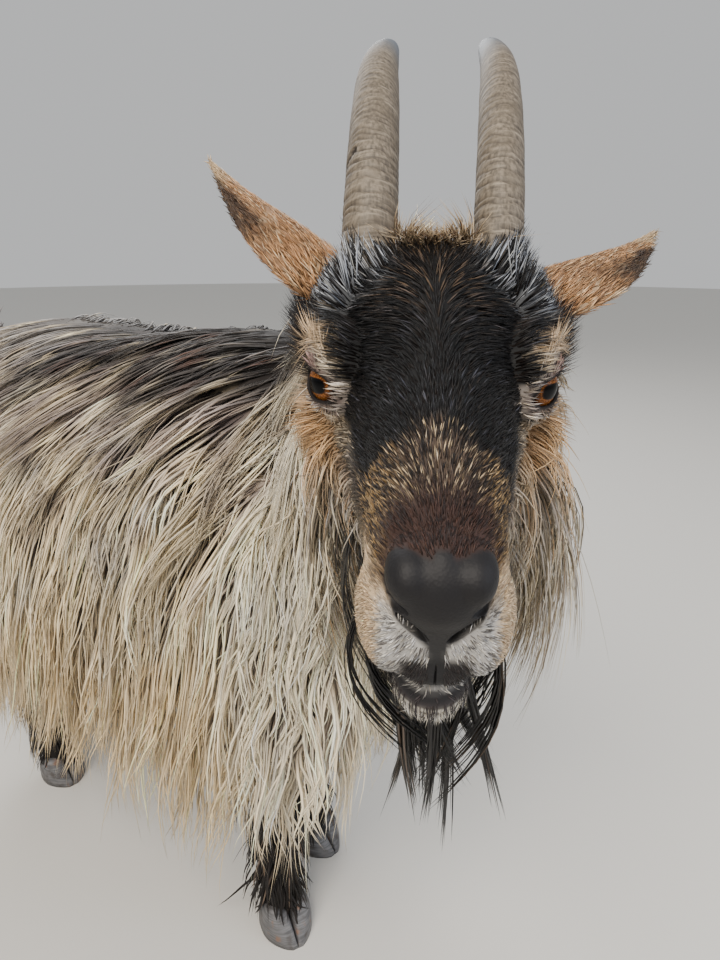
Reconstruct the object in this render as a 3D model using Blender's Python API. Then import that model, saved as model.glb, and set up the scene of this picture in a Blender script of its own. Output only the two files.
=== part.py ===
"""Pygmy goat, life size, standing with its head reached out and turned to its right.

Metres, +Z up. The body points along +X and the goat's left is +Y. Every length below is worked out
in the stance frame, whose origin is on the ground under the shoulders. The empty named stance then
moves the whole animal, so that the middle of its box stands on the world's origin.

Each node is modelled by itself: flesh is blended from simple forms, then cut 0.3 mm clear of what
it grows from, and the long coat is grown over it as flat, tapered locks that are joined to it.
"""

import math
import random

import bmesh
import bpy
from mathutils import Euler, Matrix, Vector
from mathutils.bvhtree import BVHTree

GAP = 0.0003
UP = Vector((0, 0, 1))
SIDES = {"right": -1, "left": 1}

# The middle of the whole animal's box on the ground, in the stance frame.
BOX_MIDDLE = (-0.14269, -0.02509)

# Trunk.
BREAST_X = 0.105
RUMP_X = -0.440
BACK_Z = 0.524
BELLY_Z = 0.190
BARREL_HALF = 0.134

# Feet: where the middle of each foot stands, and how far its toes turn to the left.
FEET = {
    "fore_right": (-0.012, -0.038, -26),
    "fore_left": (-0.052, 0.050, -8),
    "hind_right": (-0.346, -0.050, -10),
    "hind_left": (-0.378, 0.062, 8),
}
CLAW_LENGTH = 0.050
CLAW_HALF = 0.0112
CLAW_HEIGHT = 0.031
PASTERN_Z = 0.036

# Head: the point midway between the eyes, and how the head is turned.
HEAD_PLACE = (0.172, -0.120, 0.523)
HEAD_YAW = -56.4
HEAD_PITCH = 14.9
HEAD_ROLL = -0.8
EYE_RADIUS = 0.0128
EYE_HALF_APART = 0.0405
EYE_YAW = 56
EYE_LIFT = 4
HORN_LENGTHS = {"right": 0.169, "left": 0.172}
HORN_RADII = {"right": 0.0134, "left": 0.0120}
# Where each ear and horn of the head stands: the photo's two sides differ a little.
EAR_ROOTS = {"right": (-0.068, -0.050, 0.012), "left": (-0.068, 0.050, 0.004)}
EAR_TIPS = {"right": (-0.112, -0.116, 0.070), "left": (-0.116, 0.120, 0.036)}
HORN_SPREAD = {"right": 0.000, "left": 0.035}

HEAD_FRAME = Matrix.Translation(HEAD_PLACE) @ Euler(
    [math.radians(turn) for turn in (HEAD_ROLL, HEAD_PITCH, HEAD_YAW)]
).to_matrix().to_4x4()


# Scene and materials


def clear_scene():
    for obj in list(bpy.data.objects):
        bpy.data.objects.remove(obj)


def material(name, colour, roughness):
    """A Principled material of one colour, given as sRGB hex."""
    made = bpy.data.materials.new(name)
    made.use_nodes = True
    shader = made.node_tree.nodes["Principled BSDF"]
    srgb = [int(colour[i : i + 2], 16) / 255 for i in (0, 2, 4)]
    linear = [c / 12.92 if c <= 0.04045 else ((c + 0.055) / 1.055) ** 2.4 for c in srgb]
    shader.inputs["Base Color"].default_value = (*linear, 1)
    shader.inputs["Roughness"].default_value = roughness
    return made


# Mesh tools


def mesh_object(name, shape):
    """A new object from a bmesh, with its faces turned outwards."""
    bmesh.ops.recalc_face_normals(shape, faces=shape.faces)
    if shape.calc_volume(signed=True) < 0:
        bmesh.ops.reverse_faces(shape, faces=shape.faces)
    mesh = bpy.data.meshes.new(name)
    shape.to_mesh(mesh)
    shape.free()
    obj = bpy.data.objects.new(name, mesh)
    bpy.context.scene.collection.objects.link(obj)
    return obj


def spline(rows, share):
    """Catmull-Rom through equally spaced rows of numbers, at a share from 0 to 1 of the way."""
    spans = len(rows) - 1
    place = min(max(share, 0) * spans, spans - 1e-9)
    i = int(place)
    t = place - i
    before, a, b, after = (rows[min(max(i + k, 0), spans)] for k in (-1, 0, 1, 2))
    return [
        0.5 * (2 * q + (r - p) * t + (2 * p - 5 * q + 4 * r - s) * t**2 + (3 * q - p - 3 * r + s) * t**3)
        for p, q, r, s in zip(before, a, b, after)
    ]


def tube(name, stations, sides=20, steps=5, squareness=2.0, up=UP):
    """A closed form lofted through stations of (x, y, z, half width, half height)."""
    shape = bmesh.new()
    count = (len(stations) - 1) * steps
    rows = [spline(stations, k / count) for k in range(count + 1)]
    rings = []
    for k, row in enumerate(rows):
        ahead, behind = rows[min(k + 1, count)], rows[max(k - 1, 0)]
        along = Vector(ahead[:3]) - Vector(behind[:3])
        across = up.cross(along).normalized()
        lift = along.cross(across).normalized()
        ring = []
        for j in range(sides):
            turn = 2 * math.pi * j / sides
            c, s = math.cos(turn), math.sin(turn)
            bulge = (abs(c) ** squareness + abs(s) ** squareness) ** (-1 / squareness)
            ring.append(
                shape.verts.new(
                    Vector(row[:3]) + across * (c * bulge * row[3]) + lift * (s * bulge * row[4])
                )
            )
        rings.append(ring)
    for first, second in zip(rings, rings[1:]):
        for j in range(sides):
            shape.faces.new((first[j], first[(j + 1) % sides], second[(j + 1) % sides], second[j]))
    shape.faces.new(rings[0])
    shape.faces.new(rings[-1])
    return mesh_object(name, shape)


def ball(name, centre, radii, turn=(0, 0, 0), segments=20):
    """An ellipsoid at centre, turned by Euler degrees."""
    place = (
        Matrix.Translation(centre)
        @ Euler([math.radians(t) for t in turn]).to_matrix().to_4x4()
        @ Matrix.Diagonal((*radii, 1))
    )
    shape = bmesh.new()
    belts = segments // 2
    rows = []
    for k in range(1, belts):
        z, reach = math.cos(math.pi * k / belts), math.sin(math.pi * k / belts)
        turns = [2 * math.pi * j / segments for j in range(segments)]
        rows.append([shape.verts.new(place @ Vector((reach * math.cos(t), reach * math.sin(t), z))) for t in turns])
    top, bottom = shape.verts.new(place @ Vector((0, 0, 1))), shape.verts.new(place @ Vector((0, 0, -1)))
    for j in range(segments):
        n = (j + 1) % segments
        shape.faces.new((top, rows[0][j], rows[0][n]))
        shape.faces.new((bottom, rows[-1][n], rows[-1][j]))
        for first, second in zip(rows, rows[1:]):
            shape.faces.new((first[j], second[j], second[n], first[n]))
    return mesh_object(name, shape)


def moved(obj, matrix):
    obj.data.transform(matrix)
    return obj


def evaluated_mesh(obj):
    """A new mesh of the object as its modifiers leave it."""
    bpy.context.view_layer.update()
    graph = bpy.context.evaluated_depsgraph_get()
    return bpy.data.meshes.new_from_object(obj.evaluated_get(graph), depsgraph=graph)


def apply_modifiers(obj):
    mesh = evaluated_mesh(obj)
    obj.modifiers.clear()
    obj.data = mesh
    return obj


def by_edge(faces):
    """For each pair of joined points, the numbers of the faces that meet there."""
    edges = {}
    for index, face in enumerate(faces):
        for pair in zip(face, face[1:] + face[:1]):
            edges.setdefault(tuple(sorted(pair)), []).append(index)
    return edges


def is_closed(mesh):
    """Whether every edge has two faces."""
    edges = by_edge([tuple(face.vertices) for face in mesh.polygons])
    return all(len(meeting) == 2 for meeting in edges.values())


def largest_surface(obj):
    """Keeps the closed surface with the largest box: a sealed hollow or a loose scrap goes.

    Triangles are one surface where they share an edge that has only those two, so that a scrap
    that merely touches the surface along an edge goes too."""
    mesh = obj.data
    mesh.calc_loop_triangles()
    triangles = [tuple(triangle.vertices) for triangle in mesh.loop_triangles]
    owners = [triangle.polygon_index for triangle in mesh.loop_triangles]
    beside = [[] for _ in triangles]
    for meeting in by_edge(triangles).values():
        if len(meeting) == 2:
            beside[meeting[0]].append(meeting[1])
            beside[meeting[1]].append(meeting[0])
    points = [vert.co.copy() for vert in mesh.vertices]
    seen = [False] * len(triangles)
    best, best_spread = [], -1
    for start in range(len(triangles)):
        if seen[start]:
            continue
        seen[start] = True
        surface = [start]
        for index in surface:
            for other in beside[index]:
                if not seen[other]:
                    seen[other] = True
                    surface.append(other)
        places = [points[i] for index in surface for i in triangles[index]]
        spread = math.prod(max(p[i] for p in places) - min(p[i] for p in places) for i in range(3))
        if spread > best_spread:
            best, best_spread = surface, spread
    kept = {}
    for index in sorted(best):
        kept.setdefault(owners[index], []).append(index)
    faces = []
    for owner, indices in kept.items():
        whole = tuple(mesh.polygons[owner].vertices)
        faces += [whole] if len(indices) == len(whole) - 2 else [triangles[index] for index in indices]
    used = sorted({i for face in faces for i in face})
    renumbered = {old: new for new, old in enumerate(used)}
    mesh = bpy.data.meshes.new(obj.name)
    mesh.from_pydata([points[i] for i in used], [], [[renumbered[i] for i in face] for face in faces])
    obj.data = mesh
    return obj


def blended(name, forms, voxel, passes, triangles):
    """Overlapping forms made one smooth closed surface of about this many triangles."""
    shape = bmesh.new()
    for form in forms:
        shape.from_mesh(form.data)
        bpy.data.objects.remove(form)
    obj = mesh_object(name, shape)
    remesh = obj.modifiers.new("Remesh", "REMESH")
    remesh.mode = "VOXEL"
    remesh.voxel_size = voxel
    smooth = obj.modifiers.new("Smooth", "SMOOTH")
    smooth.factor = 0.5
    smooth.iterations = passes
    apply_modifiers(obj)
    decimate = obj.modifiers.new("Decimate", "DECIMATE")
    decimate.ratio = triangles / (2 * len(obj.data.polygons))
    decimate.use_collapse_triangulate = True
    apply_modifiers(obj)
    return largest_surface(obj)


def boolean(obj, others, operation):
    """Joins or cuts obj with the other objects in one Boolean, which is applied."""
    group = bpy.data.collections.new("operands")
    bpy.context.scene.collection.children.link(group)
    for other in others:
        group.objects.link(other)
    for mesh in [obj.data] + [other.data for other in others]:
        if not is_closed(mesh):
            raise ValueError(f"{obj.name} {operation}: {mesh.name} isn't closed")
    modifier = obj.modifiers.new("Boolean", "BOOLEAN")
    modifier.operation = operation
    modifier.operand_type = "COLLECTION"
    modifier.collection = group
    modifier.solver = "MANIFOLD"
    apply_modifiers(obj)
    for other in others:
        bpy.data.objects.remove(other)
    bpy.data.collections.remove(group)
    return largest_surface(obj)


def swollen(mesh, by=2 * GAP):
    """A mesh that stands this far outside a simple closed one, to cut a neighbour clear of it."""
    shape = bmesh.new()
    shape.from_mesh(mesh)
    shape.normal_update()
    shifts = [vert.normal * by * min(vert.calc_shell_factor(), 2) for vert in shape.verts]
    for vert, shift in zip(shape.verts, shifts):
        vert.co += shift
    mesh = bpy.data.meshes.new("swollen")
    shape.to_mesh(mesh)
    shape.free()
    return mesh


def placed(mesh):
    """An object that shows the mesh."""
    obj = bpy.data.objects.new("cutter", mesh.copy())
    bpy.context.scene.collection.objects.link(obj)
    return obj


def joined(obj, locks):
    """Joins pairs of a lock and its clearance to obj, and returns the clearances of all of it."""
    clearances = [swollen(obj.data)] + [clearance for _, clearance in locks]
    boolean(obj, [solid for solid, _ in locks], "UNION")
    return clearances


def rod(start, end, half):
    """A thin square rod from just before the start to just past the end."""
    along = (end - start).normalized()
    across = along.orthogonal().normalized() * half
    over = along.cross(across)
    shape = bmesh.new()
    rows = []
    for place in (start - along * half, end + along * half):
        rows.append([shape.verts.new(place + a) for a in (across, over, -across, -over)])
    for j in range(4):
        shape.faces.new((rows[0][j], rows[0][(j + 1) % 4], rows[1][(j + 1) % 4], rows[1][j]))
    shape.faces.new(rows[0])
    shape.faces.new(rows[1])
    return mesh_object("rod", shape)


def part_touching(obj):
    """Opens a small gap along each edge where cuts left the solid just touching itself."""
    for _ in range(4):
        mesh = obj.data
        mesh.calc_loop_triangles()
        places = [tuple(round(value, 7) for value in vert.co) for vert in mesh.vertices]
        triangles = [[places[i] for i in triangle.vertices] for triangle in mesh.loop_triangles]
        meeting = by_edge([corners for corners in triangles if len(set(corners)) == 3])
        touching = sorted(edge for edge, faces in meeting.items() if len(faces) > 2)
        if not touching:
            break
        rods = [rod(Vector(start), Vector(end), 2 * GAP) for start, end in touching]
        cutter = rods[0]
        if len(rods) > 1:
            boolean(cutter, rods[1:], "UNION")
        boolean(obj, [cutter], "DIFFERENCE")
    return obj


def cut_clear(obj, *neighbours):
    """Cuts obj a little clear of each neighbour, given as a list of clearances."""
    for clearances in neighbours:
        cutter = placed(clearances[0])
        if len(clearances) > 1:
            boolean(cutter, [placed(clearance) for clearance in clearances[1:]], "UNION")
        boolean(obj, [cutter], "DIFFERENCE")
    return part_touching(obj)


# Trunk


def torso_flesh():
    """Barrel, shoulders and thighs as one form."""
    length = BREAST_X - RUMP_X
    depth = BACK_Z - BELLY_Z
    profile = [
        # share of the length, top and bottom as shares of the depth, share of the half width
        (0.00, 0.62, 0.48, 0.20),
        (0.12, 0.88, 0.14, 0.66),
        (0.25, 1.00, 0.04, 0.86),
        (0.40, 0.98, 0.01, 0.95),
        (0.55, 0.97, 0.00, 1.00),
        (0.70, 0.99, 0.05, 0.96),
        (0.84, 1.00, 0.20, 0.80),
        (0.94, 0.93, 0.38, 0.56),
        (1.00, 0.76, 0.56, 0.22),
    ]
    stations = []
    for share, top, bottom, width in profile:
        x = BREAST_X - length * share
        z = BELLY_Z + depth * (top + bottom) / 2
        stations.append((x, 0, z, BARREL_HALF * width, depth * (top - bottom) / 2))
    forms = [tube("barrel", stations, squareness=2.2)]
    for name, side in SIDES.items():
        forms.append(ball("shoulder_" + name, (0.035, side * 0.075, 0.345), (0.058, 0.040, 0.115), (0, -8, 0)))
        forms.append(ball("elbow_" + name, (-0.012, side * 0.066, 0.262), (0.042, 0.032, 0.060)))
        forms.append(ball("thigh_" + name, (-0.345, side * 0.078, 0.340), (0.078, 0.044, 0.125), (0, 10, 0)))
        forms.append(ball("stifle_" + name, (-0.318, side * 0.076, 0.258), (0.044, 0.032, 0.058)))
    return blended("torso", forms, 0.009, 6, 480)


def neck_flesh():
    """From inside the shoulders to inside the back of the head."""
    stations = [
        (-0.050, 0.004, 0.385, 0.080, 0.090),
        (0.015, 0.000, 0.402, 0.082, 0.100),
        (0.068, -0.012, 0.448, 0.068, 0.088),
        (0.104, -0.032, 0.502, 0.055, 0.070),
        (0.130, -0.064, 0.530, 0.044, 0.052),
    ]
    return blended("neck", [tube("neck_tube", stations)], 0.008, 3, 380)


# Head, in its own frame: x to the nose, y to its left, z up, from midway between the eyes


def mirrored(make):
    """Both sides' copies of a form of the head that make(side) returns."""
    return [make(side) for side in SIDES.values()]


def head_forms():
    """Skull, muzzle, cheeks, brows, nostril wings, lips and chin, before they are blended."""
    profile = [
        # x, top, bottom, half width
        (-0.122, 0.018, -0.030, 0.028),
        (-0.100, 0.036, -0.062, 0.045),
        (-0.070, 0.043, -0.076, 0.051),
        (-0.040, 0.047, -0.078, 0.052),
        (-0.010, 0.041, -0.070, 0.045),
        (0.020, 0.032, -0.064, 0.037),
        (0.050, 0.023, -0.058, 0.031),
        (0.080, 0.014, -0.057, 0.027),
        (0.105, 0.006, -0.057, 0.0245),
        (0.124, -0.004, -0.041, 0.0165),
    ]
    stations = [
        (x, 0, (top + bottom) / 2, half, (top - bottom) / 2) for x, top, bottom, half in profile
    ]
    forms = [tube("skull", stations, sides=28, squareness=2.3)]
    forms += mirrored(lambda s: ball("brow", (-0.006, s * 0.038, 0.012), (0.026, 0.015, 0.016), (0, 0, s * -8)))
    forms += mirrored(lambda s: ball("orbit", (0.000, s * 0.036, 0.001), (0.022, 0.0145, 0.019)))
    forms += mirrored(lambda s: ball("temple", (-0.048, s * 0.040, 0.006), (0.034, 0.020, 0.034)))
    forms += mirrored(lambda s: ball("ear_base", (-0.062, s * 0.049, 0.006), (0.026, 0.020, 0.030)))
    forms += mirrored(lambda s: ball("cheek", (-0.040, s * 0.034, -0.036), (0.042, 0.021, 0.036)))
    forms += mirrored(lambda s: ball("cheekbone", (0.022, s * 0.028, -0.016), (0.030, 0.011, 0.012), (0, 0, s * -14)))
    forms += mirrored(lambda s: ball("lip", (0.100, s * 0.0135, -0.032), (0.026, 0.0145, 0.0185)))
    forms += mirrored(lambda s: ball("nostril_wing", (0.116, s * 0.0095, -0.004), (0.0135, 0.0085, 0.0105)))
    forms.append(ball("nose_front", (0.120, 0, -0.012), (0.0105, 0.013, 0.014)))
    forms.append(ball("chin", (0.107, 0, -0.0565), (0.0175, 0.0145, 0.0120)))
    return forms


def eye_axis(side):
    """The way an eye looks, in the head's frame."""
    yaw, lift = math.radians(EYE_YAW), math.radians(EYE_LIFT)
    return Vector((math.cos(yaw) * math.cos(lift), side * math.sin(yaw) * math.cos(lift), math.sin(lift)))


def eye_centre(side):
    return Vector((0.0, side * EYE_HALF_APART, 0.002))


def almond_cutter(side):
    """The opening between the lids: a lens outline, pushed out along the way the eye looks."""
    width, height, depth = 0.0116, 0.0066, 0.030
    shape = bmesh.new()
    steps = 12
    outline = []
    for k in range(steps):
        turn = 2 * math.pi * k / steps
        pinch = 1 - 0.25 * abs(math.cos(turn)) ** 3
        outline.append((width * math.cos(turn), height * math.sin(turn) * pinch))
    near = [shape.verts.new((0.0045, y, z)) for y, z in outline]
    far = [shape.verts.new((depth, 1.5 * y, 1.5 * z)) for y, z in outline]
    for k in range(steps):
        n = (k + 1) % steps
        shape.faces.new((near[k], near[n], far[n], far[k]))
    shape.faces.new(near)
    shape.faces.new(far)
    cutter = mesh_object("lid_opening", shape)
    slant = Matrix.Rotation(math.radians(side * 12), 4, "X")
    aim = eye_axis(side).to_track_quat("X", "Z").to_matrix().to_4x4()
    return moved(cutter, Matrix.Translation(eye_centre(side)) @ aim @ slant)


def mouth_cutter():
    """A thin wedge along the line of the mouth, on both sides and round the front."""
    shape = bmesh.new()
    half_height, depth = 0.0011, 0.0075
    rows = []
    steps = 18
    for k in range(steps + 1):
        turn = math.pi * (k / steps - 0.5)
        reach = math.cos(turn)
        x = 0.050 + 0.080 * reach**0.62
        y = 0.0325 * math.sin(turn) * (1 - 0.15 * reach)
        z = -0.0495 + 0.010 * (1 - reach) ** 2
        out = Vector((math.cos(turn), math.sin(turn), 0))
        place = Vector((x, y, z))
        rows.append(
            [
                shape.verts.new(place + out * 0.012 + UP * half_height * 2),
                shape.verts.new(place - out * depth),
                shape.verts.new(place + out * 0.012 - UP * half_height * 2),
            ]
        )
    for first, second in zip(rows, rows[1:]):
        for j in range(3):
            shape.faces.new((first[j], first[(j + 1) % 3], second[(j + 1) % 3], second[j]))
    shape.faces.new(rows[0])
    shape.faces.new(rows[-1])
    return mesh_object("mouth_line", shape)


def head_flesh():
    """The head with lids over the eyes, nostrils and the line of the mouth, and its clearances."""
    head = blended("head", head_forms(), 0.0030, 3, 1020)
    lids = mirrored(lambda s: ball("lids", eye_centre(s), [EYE_RADIUS + 0.0020] * 3, segments=14))
    clearances = [swollen(head.data)] + [swollen(lid.data) for lid in lids]
    boolean(head, lids, "UNION")
    sockets = mirrored(lambda s: ball("socket", eye_centre(s), [EYE_RADIUS + 2 * GAP] * 3, segments=16))
    boolean(head, sockets + mirrored(almond_cutter), "DIFFERENCE")
    cutters = mirrored(
        lambda s: ball("nostril", (0.1265, s * 0.0082, -0.0215), (0.0070, 0.0019, 0.0088), (s * -42, 0, s * -20), 12)
    )
    cutters.append(mouth_cutter())
    for cutter in cutters:
        boolean(head, [cutter], "DIFFERENCE")
    for clearance in clearances:
        clearance.transform(HEAD_FRAME)
    return moved(head, HEAD_FRAME), clearances


def eyeball(side):
    """A ball with the clearer bulge of the cornea at its front."""
    eye = ball("eye", (0, 0, 0), [EYE_RADIUS] * 3, segments=14)
    for vert in eye.data.vertices:
        front = max(0, vert.co.normalized().dot(eye_axis(side)) - 0.80) / 0.20
        vert.co -= vert.co.normalized() * 0.0004 * (1 - front)
    return moved(eye, HEAD_FRAME @ Matrix.Translation(eye_centre(side)))


def horn(name):
    """Ringed horn: an arc that leans back, nearly straight beside its twin, with a blunt tip."""
    side = SIDES[name]
    rings, sides = 18, 8
    shape = bmesh.new()
    bend_start, bend_end = math.radians(50), math.radians(8)
    point = Vector((-0.060, side * 0.0305, 0.034))
    rows = []
    for k in range(rings + 1):
        share = k / rings
        lean = bend_start + (bend_end - bend_start) * share
        along = Vector((-math.cos(lean), side * HORN_SPREAD[name], math.sin(lean))).normalized()
        if k:
            point = point + along * (HORN_LENGTHS[name] / rings)
            point.y -= side * 0.0008 * max(0, share - 0.7) / 0.3
        taper = 1 - 0.13 * share - 0.45 * share**6
        ridge = 1 + 0.045 * (1 - share) * (k % 2)
        across = along.cross(Vector((0, 1, 0))).normalized()
        wide = across.cross(along).normalized()
        row = []
        for j in range(sides):
            turn = 2 * math.pi * j / sides
            radius = HORN_RADII[name] * taper * ridge
            row.append(
                shape.verts.new(
                    point + across * (1.22 * radius * math.cos(turn)) + wide * (radius * math.sin(turn))
                )
            )
        rows.append(row)
    for first, second in zip(rows, rows[1:]):
        for j in range(sides):
            shape.faces.new((first[j], first[(j + 1) % sides], second[(j + 1) % sides], second[j]))
    shape.faces.new(rows[0])
    tip = shape.verts.new(point + along * 0.006)
    for j in range(sides):
        shape.faces.new((rows[-1][j], rows[-1][(j + 1) % sides], tip))
    return moved(mesh_object("horn", shape), HEAD_FRAME)


def ear(name):
    """A leaf folded to a cup that opens down and outwards, from its root to its pointed tip."""
    side, root, tip = SIDES[name], Vector(EAR_ROOTS[name]), Vector(EAR_TIPS[name])
    rings, arc_points = 7, 5
    thickness = 0.0028
    axis = (tip - root).normalized()
    opening = Vector((0.45, side * 0.30, -0.85))
    opening = (opening - axis * opening.dot(axis)).normalized()
    across = axis.cross(opening).normalized()
    shape = bmesh.new()
    rows = []
    for k in range(rings + 1):
        share = k / rings
        centre = root + (tip - root) * share
        centre -= UP * 0.009 * math.sin(math.pi * share)
        half = 0.0028 + 0.0225 * math.sin(math.pi * min(1, 0.28 + 0.73 * share)) ** 1.1
        half += 0.0065 * math.sin(math.pi * share)
        cup = 0.85 * half * (1 - 0.65 * share)
        wall = thickness * (1.25 - 0.65 * share)
        row = []
        for j in range(2 * arc_points):
            outer = j < arc_points
            place = j if outer else 2 * arc_points - 1 - j
            swing = -1 + 2 * place / (arc_points - 1)
            depth = cup * (1 - swing**2) + (wall if outer else 0)
            reach = half * swing + (0 if outer else -0.10 * half * swing)
            row.append(shape.verts.new(centre + across * reach - opening * (depth - 0.3 * cup)))
        rows.append(row)
    count = 2 * arc_points
    for first, second in zip(rows, rows[1:]):
        for j in range(count):
            shape.faces.new((first[j], first[(j + 1) % count], second[(j + 1) % count], second[j]))
    for row in (rows[0], rows[-1]):
        for j in range(arc_points - 1):
            shape.faces.new((row[j], row[j + 1], row[count - 2 - j], row[count - 1 - j]))
    return moved(mesh_object("ear", shape), HEAD_FRAME)


# Legs and feet


def leg_flesh(name):
    """The limb below the trunk, down to the pastern."""
    x, y, toe_turn = FEET[name]
    side = -1 if y < 0 else 1
    ahead = Matrix.Rotation(math.radians(toe_turn), 3, "Z") @ Vector((1, 0, 0))
    foot = Vector((x, y, 0)) - ahead * 0.010
    if name.startswith("fore"):
        top = Vector((-0.014, side * 0.066, 0.285))
        knee = Vector((x - 0.004, y + side * 0.002, 0.150))
        stations = [
            (*top, 0.030, 0.038),
            (*top.lerp(knee, 0.45), 0.025, 0.031),
            (*knee, 0.0215, 0.0230),
            (*(knee.lerp(foot, 0.5) - Vector((0, 0, -0.025))), 0.0165, 0.0170),
            (*(foot + UP * 0.066 - ahead * 0.006), 0.0200, 0.0215),
            (*(foot + UP * PASTERN_Z + ahead * 0.002), 0.0205, 0.0200),
            (*(foot + UP * 0.016 + ahead * 0.007), 0.0195, 0.0205),
        ]
    else:
        top = Vector((-0.345, side * 0.078, 0.300))
        hock = Vector((x - 0.052, y + side * 0.002, 0.172))
        stations = [
            (*top, 0.034, 0.052),
            (*top.lerp(hock, 0.5), 0.027, 0.038),
            (*hock, 0.0205, 0.0265),
            (*(hock.lerp(foot, 0.45) - UP * 0.002), 0.0165, 0.0185),
            (*(foot + UP * 0.066 - ahead * 0.008), 0.0200, 0.0215),
            (*(foot + UP * PASTERN_Z + ahead * 0.001), 0.0205, 0.0200),
            (*(foot + UP * 0.016 + ahead * 0.007), 0.0195, 0.0205),
        ]
    form = tube(name + "_tube", stations, sides=16, up=Vector((0, 1, 0)).cross(UP))
    return blended("leg_" + name, [form], 0.005, 2, 150)


def claw(name, which):
    """One of a foot's two claws: a flat sole, an upright wall and a slanting top."""
    x, y, toe_turn = FEET[name]
    place = Matrix.Translation((x, y, 0)) @ Matrix.Rotation(math.radians(toe_turn), 4, "Z")
    shape = bmesh.new()
    rows = []
    profile = [
        # share of the length from heel to toe, share of the half width, height of the top
        (0.00, 0.55, 0.62),
        (0.12, 0.90, 0.80),
        (0.35, 1.00, 0.95),
        (0.58, 0.96, 1.00),
        (0.78, 0.74, 0.72),
        (0.93, 0.44, 0.38),
        (1.00, 0.20, 0.20),
    ]
    for share, width, height in profile:
        along = (share - 0.5) * CLAW_LENGTH + 0.004
        half = CLAW_HALF * width
        top = CLAW_HEIGHT * height
        inner = GAP
        outer = inner + 2 * half
        middle = (inner + outer) / 2
        section = [(inner, 0), (outer, 0), (outer * 0.97, top * 0.62), (middle, top), (inner, top * 0.80)]
        rows.append([shape.verts.new((along, which * a, b)) for a, b in section])
    count = len(rows[0])
    for first, second in zip(rows, rows[1:]):
        for j in range(count):
            shape.faces.new((first[j], first[(j + 1) % count], second[(j + 1) % count], second[j]))
    shape.faces.new(rows[0])
    shape.faces.new(rows[-1])
    return moved(mesh_object("claw", shape), place)


def dewclaw(name, which):
    """A small blunt horn high on the back of the pastern."""
    x, y, toe_turn = FEET[name]
    place = Matrix.Translation((x, y, 0)) @ Matrix.Rotation(math.radians(toe_turn), 4, "Z")
    stations = [
        (-0.022, which * 0.0095, 0.060, 0.0055, 0.0062),
        (-0.033, which * 0.0110, 0.054, 0.0060, 0.0066),
        (-0.040, which * 0.0120, 0.046, 0.0048, 0.0050),
        (-0.043, which * 0.0125, 0.040, 0.0018, 0.0018),
    ]
    return moved(tube("dewclaw", stations, sides=5, steps=1), place)


def tail_flesh():
    stations = [
        (-0.390, 0, 0.450, 0.022, 0.016),
        (-0.436, 0, 0.474, 0.024, 0.014),
        (-0.468, 0, 0.492, 0.022, 0.011),
        (-0.492, 0, 0.512, 0.014, 0.008),
        (-0.502, 0, 0.524, 0.005, 0.004),
    ]
    return tube("tail", stations, sides=8, steps=1)


# Coat: flat, tapered locks


# For each kind of lock: length, width, thickness, how far its tip lifts off what it lies on, segments.
LOCKS = {
    "fringe": (0.164, 0.046, 0.0075, 0.022, 4),
    "side": (0.165, 0.050, 0.0070, 0.020, 4),
    "back": (0.150, 0.048, 0.0060, 0.014, 3),
    "spine": (0.115, 0.040, 0.0055, 0.012, 3),
    "rump": (0.140, 0.048, 0.0065, 0.016, 4),
    "ruff": (0.150, 0.042, 0.0065, 0.016, 4),
    "nape": (0.100, 0.038, 0.0055, 0.010, 3),
    "beard": (0.078, 0.0140, 0.0040, 0.010, 4),
    "whisker": (0.112, 0.0260, 0.0042, 0.032, 4),
    "jaw": (0.140, 0.0280, 0.0045, 0.040, 4),
    "forelock": (0.022, 0.0120, 0.0030, 0.003, 2),
    "tail": (0.055, 0.0240, 0.0050, 0.012, 2),
    "feather": (0.058, 0.0230, 0.0045, 0.014, 2),
}


def surface_tree(*objects):
    """One search tree over the faces of several objects."""
    points, faces = [], []
    for obj in objects:
        start = len(points)
        points += [obj.matrix_world @ vert.co for vert in obj.data.vertices]
        faces += [[start + i for i in face.vertices] for face in obj.data.polygons]
    return BVHTree.FromPolygons(points, faces)


def lock_path(tree, root, normal, lie, pull, length, lift, segments, wave):
    """Steps from the root along the lie, turning to the pull, and stays outside the flesh."""
    step = length / segments
    place = root + normal * 0.002
    heading = (lie + normal * (0.25 + 12 * lift)).normalized()
    path = [(root - normal * 0.010 - lie * 0.006, normal)]
    for k in range(segments):
        share = (k + 1) / segments
        path.append((place, normal))
        heading = (heading * (1 - 0.5 * share) + pull * (0.25 + 0.5 * share)).normalized()
        place = place + (heading + heading.cross(normal) * wave * (-1) ** k).normalized() * step
        near, facing, _, distance = tree.find_nearest(place)
        height = distance if (place - near).dot(facing) > 0 else -distance
        wanted = lift * (0.35 + 0.65 * share)
        if height < wanted:
            place = near + facing * wanted
        if height < 2.5 * lift and normal.dot(facing) > 0.3:
            normal = (normal + facing).normalized()
    path.append((place, normal))
    return path


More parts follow.
